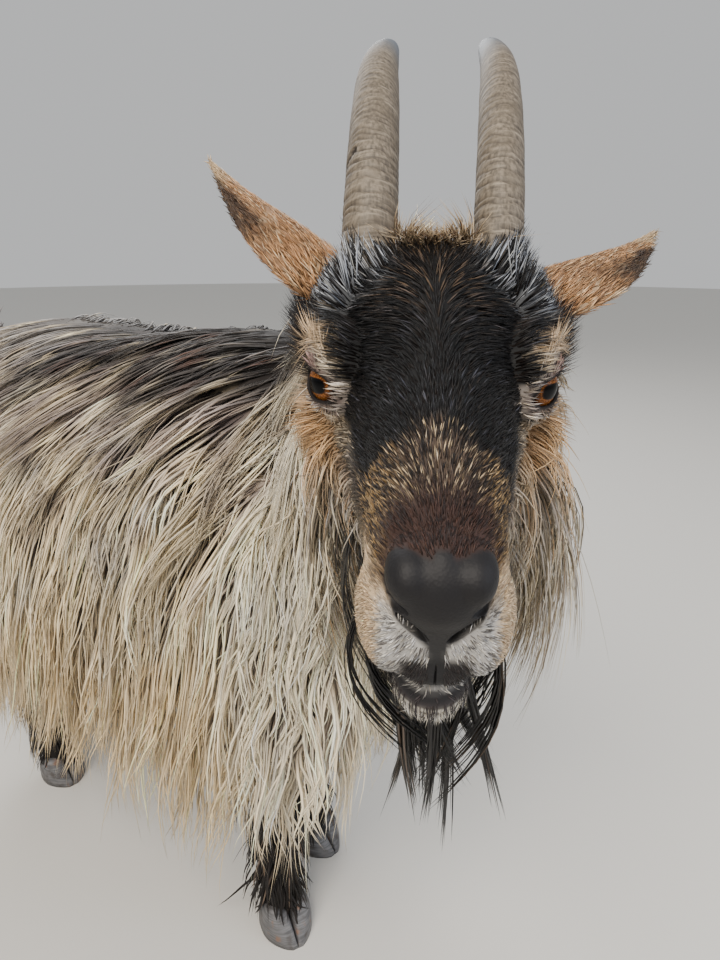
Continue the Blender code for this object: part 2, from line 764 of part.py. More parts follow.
def lock(path, width, thickness, clearance=0):
    """A closed flat lock along the path: broad soon after its root, then tapering to a point.

    With a clearance it is the form that stands so far outside that lock on every side."""
    shape = bmesh.new()
    rows = []
    last = len(path) - 1
    across = Vector((0, 0, 0))
    for k in range(last + 1 if clearance else last):
        share = k / last
        place, normal = path[k]
        ahead = path[min(k + 1, last)][0] - path[max(k - 1, 0)][0]
        if k in (0, last):
            place = place + ahead.normalized() * (clearance if k else -clearance)
        across = ahead.cross(normal).normalized() + 1.5 * across
        across = (across - ahead * across.dot(ahead) / ahead.length_squared).normalized()
        out = across.cross(ahead).normalized()
        half = width * (0.36, 0.50, 0.50, 0.42, 0.30, 0.17, 0)[min(5, round(share * 6)) if k < last else 6]
        low, high = -0.3 * thickness * (1 - 0.6 * share), 0.7 * thickness * (1 - 0.6 * share)
        section = [(half, low), (0, high), (-half, low)]
        if clearance:
            half += clearance
            floor, roof = low - clearance, low + clearance
            section = [(half, floor), (half, roof), (0, high + clearance), (-half, roof), (-half, floor)]
        rows.append([shape.verts.new(place + across * a + out * b) for a, b in section])
    count = len(section)
    for first, second in zip(rows, rows[1:]):
        for j in range(count):
            after = (j + 1) % count
            shape.faces.new((first[j], first[after], second[after]))
            shape.faces.new((first[j], second[after], second[j]))
    shape.faces.new(rows[0][::-1])
    if clearance:
        shape.faces.new(rows[-1])
    else:
        tip = shape.verts.new(path[last][0])
        for j in range(count):
            shape.faces.new((rows[-1][j], rows[-1][(j + 1) % count], tip))
    return mesh_object("lock", shape)


def grow(kind, tree, root_and_normal, lie, pull, chance, longer=1.0, raised=0.0):
    """One lock of a kind from a point on the flesh, varied a little by the seeded chance.

    It comes with the mesh that keeps its neighbours clear of it."""
    root, normal = root_and_normal
    length, width, thickness, lift, segments = LOCKS[kind]
    sway = Matrix.Rotation(math.radians(chance.uniform(-14, 14)), 3, normal)
    lie = sway @ (lie - normal * lie.dot(normal)).normalized()
    pull = (pull + lie * chance.uniform(0.0, 0.35) + normal.cross(UP) * chance.uniform(-0.22, 0.22)).normalized()
    length *= longer * chance.uniform(0.86, 1.12)
    wave = chance.uniform(-0.22, 0.22)
    path = lock_path(tree, root, normal, lie, pull, length, lift + raised, segments, wave)
    width *= chance.uniform(0.88, 1.12)
    clearance = lock(path, width, thickness, 2 * GAP)
    mesh = clearance.data
    bpy.data.objects.remove(clearance)
    return lock(path, width, thickness), mesh


def on_surface(tree, start, aim):
    """The point and normal where a ray from outside meets the flesh."""
    start, aim = Vector(start), Vector(aim)
    place, normal, _, _ = tree.ray_cast(start, (aim - start).normalized())
    return place, normal


def body_coat(torso):
    """Rows of locks from the fringe up to the spine, each row lying over the one below it."""
    tree = surface_tree(torso)
    chance = random.Random(11)
    rows = [
        # kind, angle of the roots about the trunk's middle, first x, locks along the side, lift, length
        ("fringe", -38, 0.075, 9, 0.000, 0.96),
        ("side", -8, 0.080, 9, 0.004, 1.02),
        ("side", 18, 0.064, 9, 0.009, 1.00),
        ("back", 44, 0.046, 8, 0.011, 1.00),
        ("back", 72, 0.010, 7, 0.008, 0.92),
        ("spine", 88, -0.012, 7, 0.006, 1.00),
    ]
    locks = []
    for row, (kind, angle, first_x, count, raised, longer) in enumerate(rows):
        turn = math.radians(angle)
        for side in SIDES.values():
            for k in range(count):
                share = (k + 0.5 * (row % 2)) / count
                x = first_x - (first_x - RUMP_X - 0.020) * share + chance.uniform(-0.006, 0.006)
                middle = Vector((x, 0, 0.350))
                ray = Vector((0, side * math.cos(turn), math.sin(turn)))
                found = on_surface(tree, middle + ray * 0.6, middle)
                lie, pull = Vector((-0.42, side * 0.12, -1)), Vector((-0.16, side * 0.05, -1))
                if angle > 60:
                    lie = Vector((-0.60, side * 0.8, -0.3))
                if kind == "spine":
                    lie, pull = Vector((-1, side * 0.5, 0)), Vector((-0.8, side * 0.5, -0.5))
                shorter = 1 - 0.10 * max(0, 1 - abs(x - 0.05) / 0.10) * (side < 0) * (angle < 0)
                locks.append(grow(kind, tree, found, lie, pull, chance, longer * shorter, raised))
    for y in (-0.052, -0.018, 0.018, 0.052):
        found = on_surface(tree, (0.6, y, 0.250 + abs(y)), (-0.1, y, 0.270 + abs(y)))
        locks.append(grow("fringe", tree, found, Vector((0.2, y, -1)), Vector((0, y, -1)), chance, 0.62))
    for z in (0.480, 0.400):
        for y in (-0.062, 0.000, 0.062):
            found = on_surface(tree, (-0.9, y * 1.5, z + 0.02), (-0.2, y, z - 0.02))
            locks.append(grow("rump", tree, found, Vector((-0.2, y, -1)), Vector((0, y, -1)), chance))
    return locks


def breast_coat(neck, others):
    """The ruff: rows down the throat and both sides of the neck, and the nape's shorter hair."""
    tree = surface_tree(neck)
    clear = surface_tree(neck, *others)
    chance = random.Random(23)
    locks = []
    rows = [
        # point on the neck's axis, kind, angles about that axis from straight ahead, length
        ((0.058, -0.010, 0.415), "ruff", (-62, -24, 14, 52), 1.10),
        ((0.074, -0.018, 0.452), "ruff", (-104, -68, -32, 4, 40, 76, 108), 1.06),
        ((0.092, -0.028, 0.490), "ruff", (-120, -78, 78, 120), 0.95),
        ((0.104, -0.034, 0.518), "nape", (-140, -92, 92, 140, 180), 0.85),
    ]
    for middle, kind, angles, longer in rows:
        for angle in angles:
            turn = math.radians(angle + HEAD_YAW * 0.4)
            ray = Vector((math.cos(turn), math.sin(turn), -0.15))
            found = on_surface(tree, Vector(middle) + ray * 0.4, middle)
            if found[0] is None:
                continue
            lie = Vector((-0.25, 0, -1)) + ray * 0.2
            locks.append(grow(kind, clear, found, lie, Vector((-0.05, 0, -1)) + ray * 0.12, chance, longer))
    return locks


def head_coat(head):
    """Beard, the whiskers of both cheeks, and the tuft between the horns."""
    tree = surface_tree(head)
    chance = random.Random(5)
    turned = HEAD_FRAME.to_3x3()
    locks = []

    def add(kind, start, aim, lie, pull, longer=1.0):
        found = on_surface(tree, HEAD_FRAME @ Vector(start), HEAD_FRAME @ Vector(aim))
        locks.append(grow(kind, tree, found, turned @ Vector(lie), Vector(pull), chance, longer))

    for x, y, longer in (
        (0.096, 0.000, 0.75), (0.084, 0.015, 0.95), (0.084, -0.015, 0.95), (0.070, 0.001, 1.20),
        (0.058, 0.022, 1.10), (0.058, -0.022, 1.20), (0.044, 0.000, 1.30), (0.030, 0.026, 1.15),
        (0.030, -0.027, 1.25),
    ):
        add("beard", (x, y * 1.3, -0.2), (x, y, 0), (0.35, 0, -1), (0.06, -0.05, -1), longer)
    for side in SIDES.values():
        for x, z, longer in (
            (0.024, -0.044, 0.95), (-0.010, -0.046, 1.10), (-0.046, -0.044, 1.15),
            (-0.024, -0.018, 1.00), (-0.066, -0.016, 1.10),
        ):
            out = turned @ Vector((0, side, 0))
            pull = Vector((0, 0, -1)) - out * 0.12
            longer *= 1.28 if side > 0 else 1.0
            add("whisker", (x, side * 0.3, z), (x, 0, z), (-0.30, side * 0.9, -0.7), pull, longer)
        for x, z in ((0.008, -0.050), (-0.026, -0.054), (-0.060, -0.050)):
            pull = Vector((0, 0, -1)) - out * 0.04
            add("jaw", (x, side * 0.3, z), (x, 0, z), (-0.20, side * 1.8, -0.8), pull)
    for x, y in ((-0.058, 0.000), (-0.072, 0.010), (-0.072, -0.010)):
        add("forelock", (x, y, 0.2), (x, y, 0), (0.9, y * 10, 0.2), turned @ Vector((0.6, y * 10, 0.7)))
    return locks


def tail_coat(tail):
    tree = surface_tree(tail)
    chance = random.Random(31)
    locks = []
    for x, z in ((-0.458, 0.486), (-0.484, 0.504)):
        for y in (-0.2, 0, 0.2):
            found = on_surface(tree, (x - 0.02, y, z + 0.15), (x, y * 0.04, z))
            if found[0] is not None:
                pull = Vector((-0.8, y * 2, -0.5))
                locks.append(grow("tail", tree, found, Vector((-1, y * 3, 0.4)), pull, chance))
    return locks


def leg_coat(name, leg):
    """Feathering behind the cannon and round the fetlock."""
    tree = surface_tree(leg)
    chance = random.Random(len(name))
    x, y, toe_turn = FEET[name]
    locks = []
    for z, angles in ((0.078, (-145, -50, 50, 145)), (0.122, (-70, 70))):
        for angle in angles:
            turn = math.radians(toe_turn + angle)
            ray = Vector((math.cos(turn), math.sin(turn), 0))
            middle = Vector((x - 0.012, y, z))
            found = on_surface(tree, middle + ray * 0.2, middle)
            if found[0] is None:
                continue
            locks.append(grow("feather", tree, found, Vector((0, 0, -1)) + ray * 0.1, Vector((0, 0, -1)), chance))
    return locks


# The whole animal


def main():
    clear_scene()
    skin = material("coat", "B9A98A", 0.9)
    dark = material("dark coat", "2B2724", 0.9)
    horn_skin = material("horn", "8F8474", 0.6)
    eye_skin = material("eye", "9A5A22", 0.1)

    torso, neck = torso_flesh(), neck_flesh()
    head, skull = head_flesh()
    torso_clear = joined(torso, body_coat(torso))
    ruff = breast_coat(neck, [torso, head])
    head_clear = skull + joined(head, head_coat(head))[1:]
    cut_clear(torso, head_clear)
    joined(neck, ruff)
    cut_clear(neck, torso_clear, head_clear)
    nodes = {"torso": (torso, skin), "neck": (neck, skin), "head": (head, dark)}

    for name in FEET:
        leg = leg_flesh(name)
        leg_clear = joined(leg, leg_coat(name, leg))
        toes_clear = []
        for label, which in (("outer", 1), ("inner", -1)):
            which = which if name.endswith("left") else -which
            toe = claw(name, which)
            toes_clear.append([swollen(toe.data)])
            nodes[f"claw_{name}_{label}"] = (toe, horn_skin)
            nodes[f"dewclaw_{name}_{label}"] = (cut_clear(dewclaw(name, which), leg_clear), horn_skin)
        nodes["leg_" + name] = (cut_clear(leg, torso_clear, *toes_clear), dark)

    tail = tail_flesh()
    joined(tail, tail_coat(tail))
    nodes["tail"] = (cut_clear(tail, torso_clear), skin)
    for name, side in SIDES.items():
        sheath = horn(name)
        sheath_clear = [swollen(sheath.data)]
        nodes["horn_" + name] = (cut_clear(sheath, head_clear), horn_skin)
        nodes["eye_" + name] = (eyeball(side), eye_skin)
        nodes["ear_" + name] = (cut_clear(ear(name), head_clear, sheath_clear), skin)

    stance = bpy.data.objects.new("stance", None)
    stance.location = (-BOX_MIDDLE[0], -BOX_MIDDLE[1], 0)
    bpy.context.scene.collection.objects.link(stance)
    for name, (node, finish) in nodes.items():
        node.name = name
        node.data.materials.clear()
        node.data.materials.append(finish)
        node.parent = stance


random.seed(7)
main()
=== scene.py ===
import math

import bmesh
import bpy
import numpy as np
from mathutils import Euler, Matrix, Vector
from mathutils.bvhtree import BVHTree


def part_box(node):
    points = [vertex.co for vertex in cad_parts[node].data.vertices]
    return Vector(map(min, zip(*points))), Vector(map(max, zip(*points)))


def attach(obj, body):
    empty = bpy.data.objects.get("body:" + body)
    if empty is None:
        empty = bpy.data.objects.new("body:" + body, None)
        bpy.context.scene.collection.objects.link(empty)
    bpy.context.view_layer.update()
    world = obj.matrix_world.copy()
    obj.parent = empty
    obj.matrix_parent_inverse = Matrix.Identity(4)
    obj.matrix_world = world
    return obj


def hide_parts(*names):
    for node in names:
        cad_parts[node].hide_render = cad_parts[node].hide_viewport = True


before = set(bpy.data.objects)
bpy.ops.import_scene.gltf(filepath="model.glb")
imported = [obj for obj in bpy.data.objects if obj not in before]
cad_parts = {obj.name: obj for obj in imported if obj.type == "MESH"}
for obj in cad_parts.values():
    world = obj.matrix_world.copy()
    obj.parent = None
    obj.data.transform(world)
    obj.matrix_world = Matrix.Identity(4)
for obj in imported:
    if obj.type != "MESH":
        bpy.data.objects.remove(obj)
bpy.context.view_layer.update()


# The stance: a grown pygmy goat on its four feet, its head reached out and turned to its right.
# Its lengths are worked out from a point on the ground under the shoulders, with the body along +X,
# and the midpoint of the solids' eyes says where that point lies in the model.

HEAD_PLACE = Vector((0.172, -0.120, 0.523))
HEAD_TURNS = (-0.8, 14.9, -56.4)
EYE_HALF_APART = 0.0405
EYE_UP = 0.002


def middle(node):
    """The middle of a node's box."""
    low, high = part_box(node)
    return (Vector(low) + Vector(high)) / 2


turns = [math.radians(turn) for turn in HEAD_TURNS]
head_in_stance = Matrix.Translation(HEAD_PLACE) @ Euler(turns).to_matrix().to_4x4()
eyes_middle = (middle("eye_right") + middle("eye_left")) / 2
stance = Matrix.Translation(eyes_middle - head_in_stance @ Vector((0, 0, EYE_UP)))
head_frame = stance @ head_in_stance


# The camera: a phone held a little above the goat's head, close in front of its right shoulder,
# looking down. Its lens gives the wide view of the photograph, which is upright, 720 by 960.

CAMERA_PLACE = (0.3328, -0.3863, 0.585)
CAMERA_TURN = 36.9
CAMERA_TILT = 18.8
LENS_MM, SENSOR_MM = 27, 36

lens = bpy.data.cameras.new("camera")
lens.lens = LENS_MM
lens.sensor_width = SENSOR_MM
lens.clip_start = 0.01
camera = bpy.data.objects.new("camera", lens)
turn, tilt = math.radians(CAMERA_TURN), math.radians(CAMERA_TILT)
looking = Vector((-math.sin(turn) * math.cos(tilt), math.cos(turn) * math.cos(tilt), -math.sin(tilt)))
camera.matrix_world = stance @ Matrix.Translation(CAMERA_PLACE) @ looking.to_track_quat("-Z", "Y").to_matrix().to_4x4()
bpy.context.scene.collection.objects.link(camera)
bpy.context.scene.camera = camera


# The flesh under the coat: barrel, shoulders, thighs, neck, tail and four legs, one skin without
# a seam. It lies under the solids' flesh by the depth of the close undercoat.

UNDERCOAT = 0.006
LEG_HAIR = 0.003
BREAST_X, RUMP_X = 0.105, -0.440
BACK_Z, BELLY_Z = 0.524, 0.190
BARREL_HALF = 0.134
FEET = {
    "fore_right": (-0.012, -0.038, -26),
    "fore_left": (-0.052, 0.050, -8),
    "hind_right": (-0.346, -0.050, -10),
    "hind_left": (-0.378, 0.062, 8),
}
UP = Vector((0, 0, 1))
RINGS_A_STATION = 6


def spline(rows, share):
    """Catmull-Rom through equally spaced rows of numbers, at a share from 0 to 1 of the way."""
    spans = len(rows) - 1
    place = min(max(share, 0) * spans, spans - 1e-9)
    i = int(place)
    t = place - i
    before, a, b, after = (rows[min(max(i + k, 0), spans)] for k in (-1, 0, 1, 2))
    return [
        0.5 * (2 * q + (r - p) * t + (2 * p - 5 * q + 4 * r - s) * t**2 + (3 * q - p - 3 * r + s) * t**3)
        for p, q, r, s in zip(before, a, b, after)
    ]


def skin_between(shape, rings):
    """Faces between rings of points, and over both ends."""
    count = len(rings[0])
    for first, second in zip(rings, rings[1:]):
        for j in range(count):
            shape.faces.new((first[j], first[(j + 1) % count], second[(j + 1) % count], second[j]))
    shape.faces.new(rings[0])
    shape.faces.new(rings[-1])


def limb(shape, stations, inset=0.0, sides=24, squareness=2.0, up=UP):
    """Adds a closed form through stations of (x, y, z, half width, half height), made slimmer by inset."""
    count = (len(stations) - 1) * RINGS_A_STATION
    rows = [spline(stations, k / count) for k in range(count + 1)]
    rings = []
    for k, row in enumerate(rows):
        along = Vector(rows[min(k + 1, count)][:3]) - Vector(rows[max(k - 1, 0)][:3])
        across = up.cross(along).normalized()
        lift = along.cross(across).normalized()
        ring = []
        for j in range(sides):
            c, s = math.cos(2 * math.pi * j / sides), math.sin(2 * math.pi * j / sides)
            bulge = (abs(c) ** squareness + abs(s) ** squareness) ** (-1 / squareness)
            wide, high = max(row[3] - inset, 0.002), max(row[4] - inset, 0.002)
            ring.append(shape.verts.new(Vector(row[:3]) + across * c * bulge * wide + lift * s * bulge * high))
        rings.append(ring)
    skin_between(shape, rings)


def muscle(shape, centre, radii, turn=(0, 0, 0), inset=0.0, segments=24):
    """Adds an ellipsoid at centre, turned by degrees and made smaller by inset."""
    radii = [radius - inset for radius in radii]
    spin = Euler([math.radians(t) for t in turn]).to_matrix().to_4x4()
    place = Matrix.Translation(centre) @ spin @ Matrix.Diagonal((*radii, 1))
    belts = segments // 2
    rows = []
    for k in range(1, belts):
        z, reach = math.cos(math.pi * k / belts), math.sin(math.pi * k / belts)
        around = [2 * math.pi * j / segments for j in range(segments)]
        rows.append([shape.verts.new(place @ Vector((reach * math.cos(t), reach * math.sin(t), z))) for t in around])
    top, bottom = (shape.verts.new(place @ Vector((0, 0, z))) for z in (1, -1))
    for j in range(segments):
        n = (j + 1) % segments
        shape.faces.new((top, rows[0][j], rows[0][n]))
        shape.faces.new((bottom, rows[-1][n], rows[-1][j]))
        for first, second in zip(rows, rows[1:]):
            shape.faces.new((first[j], second[j], second[n], first[n]))


def on_side(place, side):
    """A place on the goat's left, or its mirror image on the right where side is -1."""
    return (place[0], side * place[1], place[2])


def solid(name, shape, material=None):
    """An object from a bmesh, with its faces turned outwards, and smooth if it has a material."""
    bmesh.ops.recalc_face_normals(shape, faces=shape.faces)
    if shape.calc_volume(signed=True) < 0:
        bmesh.ops.reverse_faces(shape, faces=shape.faces)
    mesh = bpy.data.meshes.new(name)
    shape.to_mesh(mesh)
    shape.free()
    if material:
        mesh.materials.append(material)
        mesh.shade_smooth()
    obj = bpy.data.objects.new(name, mesh)
    bpy.context.scene.collection.objects.link(obj)
    return obj


def applied(obj):
    """Makes what an object's modifiers give its own mesh."""
    graph = bpy.context.evaluated_depsgraph_get()
    graph.update()
    mesh = bpy.data.meshes.new_from_object(obj.evaluated_get(graph))
    obj.modifiers.clear()
    obj.data = mesh
    return obj


def blended(obj, voxel, passes):
    """Runs an object's overlapping forms together into one even surface."""
    remesh = obj.modifiers.new("Blend", "REMESH")
    remesh.mode = "VOXEL"
    remesh.voxel_size = voxel
    smooth = obj.modifiers.new("Smooth", "SMOOTH")
    smooth.factor = 0.5
    smooth.iterations = passes
    return applied(obj)


body_forms = bmesh.new()
depth = BACK_Z - BELLY_Z
barrel = [
    # share of the length, top and bottom as shares of the depth, share of the half width
    (0.00, 0.62, 0.48, 0.20),
    (0.12, 0.88, 0.14, 0.66),
    (0.25, 1.00, 0.04, 0.86),
    (0.40, 0.98, 0.01, 0.95),
    (0.55, 0.97, 0.00, 1.00),
    (0.70, 0.99, 0.05, 0.96),
    (0.84, 1.00, 0.20, 0.80),
    (0.94, 0.93, 0.38, 0.56),
    (1.00, 0.76, 0.56, 0.22),
]
stations = [
    (
        BREAST_X + (RUMP_X - BREAST_X) * share,
        0,
        BELLY_Z + depth * (top + bottom) / 2,
        BARREL_HALF * width,
        depth * (top - bottom) / 2,
    )
    for share, top, bottom, width in barrel
]
limb(body_forms, stations, UNDERCOAT, squareness=2.2)
for side in (-1, 1):
    for place, radii, tilt in (
        ((0.035, 0.075, 0.345), (0.058, 0.040, 0.115), -8),  # shoulder
        ((-0.012, 0.066, 0.262), (0.042, 0.032, 0.060), 0),  # upper arm
        ((-0.345, 0.078, 0.340), (0.078, 0.044, 0.125), 10),  # thigh
        ((-0.318, 0.076, 0.258), (0.044, 0.032, 0.058), 0),  # stifle
    ):
        muscle(body_forms, on_side(place, side), radii, (0, tilt, 0), UNDERCOAT)

neck_stations = [
    (-0.050, 0.004, 0.385, 0.080, 0.090),
    (0.015, 0.000, 0.402, 0.082, 0.100),
    (0.068, -0.012, 0.448, 0.068, 0.088),
    (0.104, -0.032, 0.502, 0.055, 0.070),
    (0.130, -0.064, 0.530, 0.044, 0.052),
]
limb(body_forms, neck_stations, UNDERCOAT)
tail_stations = [
    (-0.390, 0, 0.450, 0.022, 0.016),
    (-0.436, 0, 0.474, 0.024, 0.014),
    (-0.468, 0, 0.492, 0.022, 0.011),
    (-0.492, 0, 0.512, 0.014, 0.008),
    (-0.502, 0, 0.524, 0.005, 0.005),
]
limb(body_forms, tail_stations, LEG_HAIR)
for name, (x, y, toe_turn) in FEET.items():
    side = -1 if y < 0 else 1
    ahead = Matrix.Rotation(math.radians(toe_turn), 3, "Z") @ Vector((1, 0, 0))
    foot = Vector((x, y, 0)) - ahead * 0.010
    if name.startswith("fore"):
        top, joint = Vector((-0.014, side * 0.066, 0.285)), Vector((x - 0.004, y + side * 0.002, 0.150))
        upper = [(*top, 0.030, 0.038), (*top.lerp(joint, 0.45), 0.025, 0.031), (*joint, 0.0215, 0.0230)]
        cannon = (*(joint.lerp(foot, 0.5) + UP * 0.025), 0.0165, 0.0170)
    else:
        top, joint = Vector((-0.345, side * 0.078, 0.300)), Vector((x - 0.052, y + side * 0.002, 0.172))
        upper = [(*top, 0.034, 0.052), (*top.lerp(joint, 0.5), 0.027, 0.038), (*joint, 0.0205, 0.0265)]
        cannon = (*(joint.lerp(foot, 0.45) - UP * 0.002), 0.0165, 0.0185)
    fetlock = [
        cannon,
        (*(foot + UP * 0.066 - ahead * 0.007), 0.0200, 0.0215),
        (*(foot + UP * 0.036 + ahead * 0.002), 0.0205, 0.0200),
        (*(foot + UP * 0.020 + ahead * 0.006), 0.0195, 0.0205),
    ]
    limb(body_forms, upper + fetlock, LEG_HAIR, sides=20, up=Vector((1, 0, 0)))
body = blended(solid("body", body_forms), 0.0045, 3)


# The head: a long skull that narrows to a blunt muzzle, with brows over the eyes, flat cheeks,
# soft lips and a small chin. Its skin lies under the short hair of the face, and the lids, the
# nostrils and the line of the mouth are opened in it.

FACE_HAIR = 0.0022
EYE_RADIUS = 0.0128
EYE_YAW, EYE_LIFT = 51, 3
OPENING_HALF = (0.0112, 0.0055)
OPENING_SLANT = 1
LID_POINTS, MOUTH_STEPS = 40, 36


def eye_centre(side):
    return Vector((0, side * EYE_HALF_APART, EYE_UP))


def eye_axis(side):
    """The way an eye looks, in the head's frame."""
    yaw, lift = math.radians(EYE_YAW), math.radians(EYE_LIFT)
    return Vector((math.cos(yaw) * math.cos(lift), side * math.sin(yaw) * math.cos(lift), math.sin(lift)))


def lid_aim(side):
    """Turns x to the way the eye looks, and y along the slanting opening of its lids."""
    slant = Matrix.Rotation(math.radians(side * OPENING_SLANT), 3, "X")
    return eye_axis(side).to_track_quat("X", "Z").to_matrix() @ slant


def cut(obj, shapes):
    """Cuts closed shapes out of an object, and applies it."""
    group = bpy.data.collections.new("operands")
    bpy.context.scene.collection.children.link(group)
    others = [solid("operand", shape) for shape in shapes]
    for other in others:
        group.objects.link(other)
    boolean = obj.modifiers.new("Cut", "BOOLEAN")
    boolean.operation = "DIFFERENCE"
    boolean.operand_type = "COLLECTION"
    boolean.collection = group
    boolean.solver = "MANIFOLD"
    applied(obj)
    for other in others:
        bpy.data.objects.remove(other)
    bpy.data.collections.remove(group)


head_forms = bmesh.new()
skull = [
    # x, top, bottom, half width
    (-0.122, 0.018, -0.030, 0.028),
    (-0.100, 0.036, -0.062, 0.045),
    (-0.070, 0.043, -0.076, 0.051),
    (-0.040, 0.047, -0.078, 0.052),
    (-0.010, 0.041, -0.070, 0.045),
    (0.020, 0.032, -0.064, 0.037),
    (0.050, 0.023, -0.058, 0.031),
    (0.080, 0.014, -0.059, 0.027),
    (0.105, 0.006, -0.060, 0.0245),
    (0.124, -0.004, -0.050, 0.0165),
]
stations = [(x, 0, (top + bottom) / 2, half, (top - bottom) / 2) for x, top, bottom, half in skull]
limb(head_forms, stations, FACE_HAIR, sides=36, squareness=2.3)
for side in (-1, 1):
    for place, radii, yaw, inset in (
        ((-0.006, 0.038, 0.012), (0.026, 0.015, 0.016), -8, FACE_HAIR),  # brow
        ((0.000, 0.036, 0.001), (0.022, 0.0145, 0.019), 0, FACE_HAIR),  # rim of the eye's hollow
        ((-0.048, 0.040, 0.006), (0.034, 0.020, 0.034), 0, FACE_HAIR),  # temple
        ((-0.062, 0.047, 0.006), (0.026, 0.018, 0.028), 0, 2 * FACE_HAIR),  # poll, under the ear
        ((-0.040, 0.034, -0.036), (0.042, 0.021, 0.036), 0, FACE_HAIR),  # cheek
        ((0.022, 0.028, -0.016), (0.030, 0.011, 0.012), -14, FACE_HAIR),  # ridge below the eye
        ((0.100, 0.0135, -0.0345), (0.026, 0.0145, 0.0215), 0, 0.0010),  # upper lip
        ((0.116, 0.0100, -0.006), (0.0125, 0.0085, 0.0100), 0, 0.0008),  # wing of the nostril
    ):
        muscle(head_forms, on_side(place, side), radii, (0, 0, side * yaw), inset)
    muscle(head_forms, eye_centre(side), [EYE_RADIUS + 0.0020] * 3)
for place, radii, inset in (
    ((0.1185, 0, -0.012), (0.0105, 0.014, 0.015), 0.0004),  # nose pad
    ((0.107, 0, -0.0610), (0.0170, 0.0145, 0.0120), 0.0010),  # chin
    ((0.112, 0, -0.003), (0.013, 0.009, 0.0090), 0.0004),  # top of the nose
):
    muscle(head_forms, place, radii, inset=inset)
head = blended(solid("head_skin", head_forms), 0.0016, 4)

sockets, openings = [], []
for side in (-1, 1):
    socket = bmesh.new()
    muscle(socket, eye_centre(side), [EYE_RADIUS + 0.0003] * 3, segments=48)
    sockets.append(socket)
    opening = bmesh.new()
    outline = []
    for k in range(LID_POINTS):
        turn = 2 * math.pi * k / LID_POINTS
        pinch = 1 - 0.25 * abs(math.cos(turn)) ** 3
        outline.append((OPENING_HALF[0] * math.cos(turn), OPENING_HALF[1] * math.sin(turn) * pinch))
    rings = [
        [opening.verts.new((x, y * grow, z * grow)) for y, z in outline]
        for x, grow in ((0.0045, 1), (0.03, 1.5))
    ]
    skin_between(opening, rings)
    opening.transform(Matrix.Translation(eye_centre(side)) @ lid_aim(side).to_4x4())
    openings.append(opening)
cut(head, sockets + openings)

for side in (-1, 1):
    for place, radii, spin in (
        ((0.1265, side * 0.0082, -0.0215), (0.0075, 0.0016, 0.0090), (side * -42, 0, side * -20)),
        ((0.1225, side * 0.0140, -0.0150), (0.0075, 0.0034, 0.0021), (side * 20, 0, side * -30)),
    ):
        nostril = bmesh.new()
        muscle(nostril, place, radii, spin)
        cut(head, [nostril])
philtrum = bmesh.new()
muscle(philtrum, (0.1270, 0, -0.0440), (0.0040, 0.0006, 0.0110), (0, 4, 0))
cut(head, [philtrum])
MOUTH_Z = -0.0562
mouth = bmesh.new()
rings = []
for k in range(MOUTH_STEPS + 1):
    turn = math.pi * (k / MOUTH_STEPS - 0.5)
    reach = math.cos(turn)
    out = Vector((math.cos(turn), math.sin(turn), 0))
    place = Vector((0.050 + 0.080 * reach**0.62, 0.0325 * math.sin(turn) * (1 - 0.15 * reach), MOUTH_Z))
    place += UP * 0.010 * (1 - reach) ** 2
    wedge = (place + out * 0.012 + UP * 0.0018, place - out * 0.0075, place + out * 0.012 - UP * 0.0018)
    rings.append([mouth.verts.new(corner) for corner in wedge])
skin_between(mouth, rings)
cut(head, [mouth])


# The ears: thin leaves of gristle folded to a cup, their backs to the sky and their hollows turned
# down and outwards. Skin covers both faces and runs on into the head's.

EAR_ROOTS = {"right": (-0.068, -0.050, 0.012), "left": (-0.068, 0.050, 0.004)}
EAR_TIPS = {"right": (-0.112, -0.116, 0.070), "left": (-0.116, 0.120, 0.036)}
EAR_OPENS = (0.45, 0.30, -0.85)
SIDES = {"right": -1, "left": 1}


def ear_leaf(name, rings=30, arc_points=13, thickness=0.0020):
    """Rows of points round the ear, from its root to its pointed tip."""
    side, root, tip = SIDES[name], Vector(EAR_ROOTS[name]), Vector(EAR_TIPS[name])
    axis = (tip - root).normalized()
    opening = Vector(on_side(EAR_OPENS, side))
    opening = (opening - axis * opening.dot(axis)).normalized()
    across = axis.cross(opening).normalized()
    shape = bmesh.new()
    rows = []
    for k in range(rings + 1):
        share = k / rings
        centre = root + (tip - root) * share * 0.985
        centre -= UP * 0.005 * math.sin(math.pi * share)
        half = 0.0020 + 0.0222 * math.sin(math.pi * min(1, 0.28 + 0.73 * share)) ** 1.1
        half += 0.0105 * math.sin(math.pi * share) + 0.0065 * (1 - share) ** 2
        cup = 0.85 * half * (1 - 0.65 * share)
        row = []
        for j in range(2 * arc_points):
            outer = j < arc_points
            place = j if outer else 2 * arc_points - 1 - j
            swing = -1 + 2 * place / (arc_points - 1)
            wall = thickness * (1.25 - 0.65 * share) * (1 - 0.7 * swing**4)
            fold = 0.0012 * math.cos(3 * math.pi * swing) * (1 - swing**2) * (1 - share)
            depth = cup * (1 - swing**2) + (wall if outer else fold)
            reach = half * swing * (1 if outer else 0.985)
            row.append(shape.verts.new(centre + across * reach - opening * (depth - 0.3 * cup)))
        rows.append(row)
    skin_between(shape, rows)
    shape.transform(head_frame)
    return shape


body.data.transform(stance)
head.data.transform(head_frame)
ears = {name: solid("ear_leaf", ear_leaf(name)) for name in SIDES}


# The markings: cream over the sides and neck with a dark saddle, black legs, and on the face
# a black mask, pale stripes over the eyes, tan cheeks and a grizzled bridge. Skin and coat share
# them, and each region is a soft-edged form set by real lengths from the eyes or the shoulders.


def linear(colour):
    """A colour given as sRGB hex, as linear numbers."""
    values = np.array([int(colour[i : i + 2], 16) / 255 for i in (0, 2, 4)])
    return np.where(values <= 0.04045, values / 12.92, ((values + 0.055) / 1.055) ** 2.4)


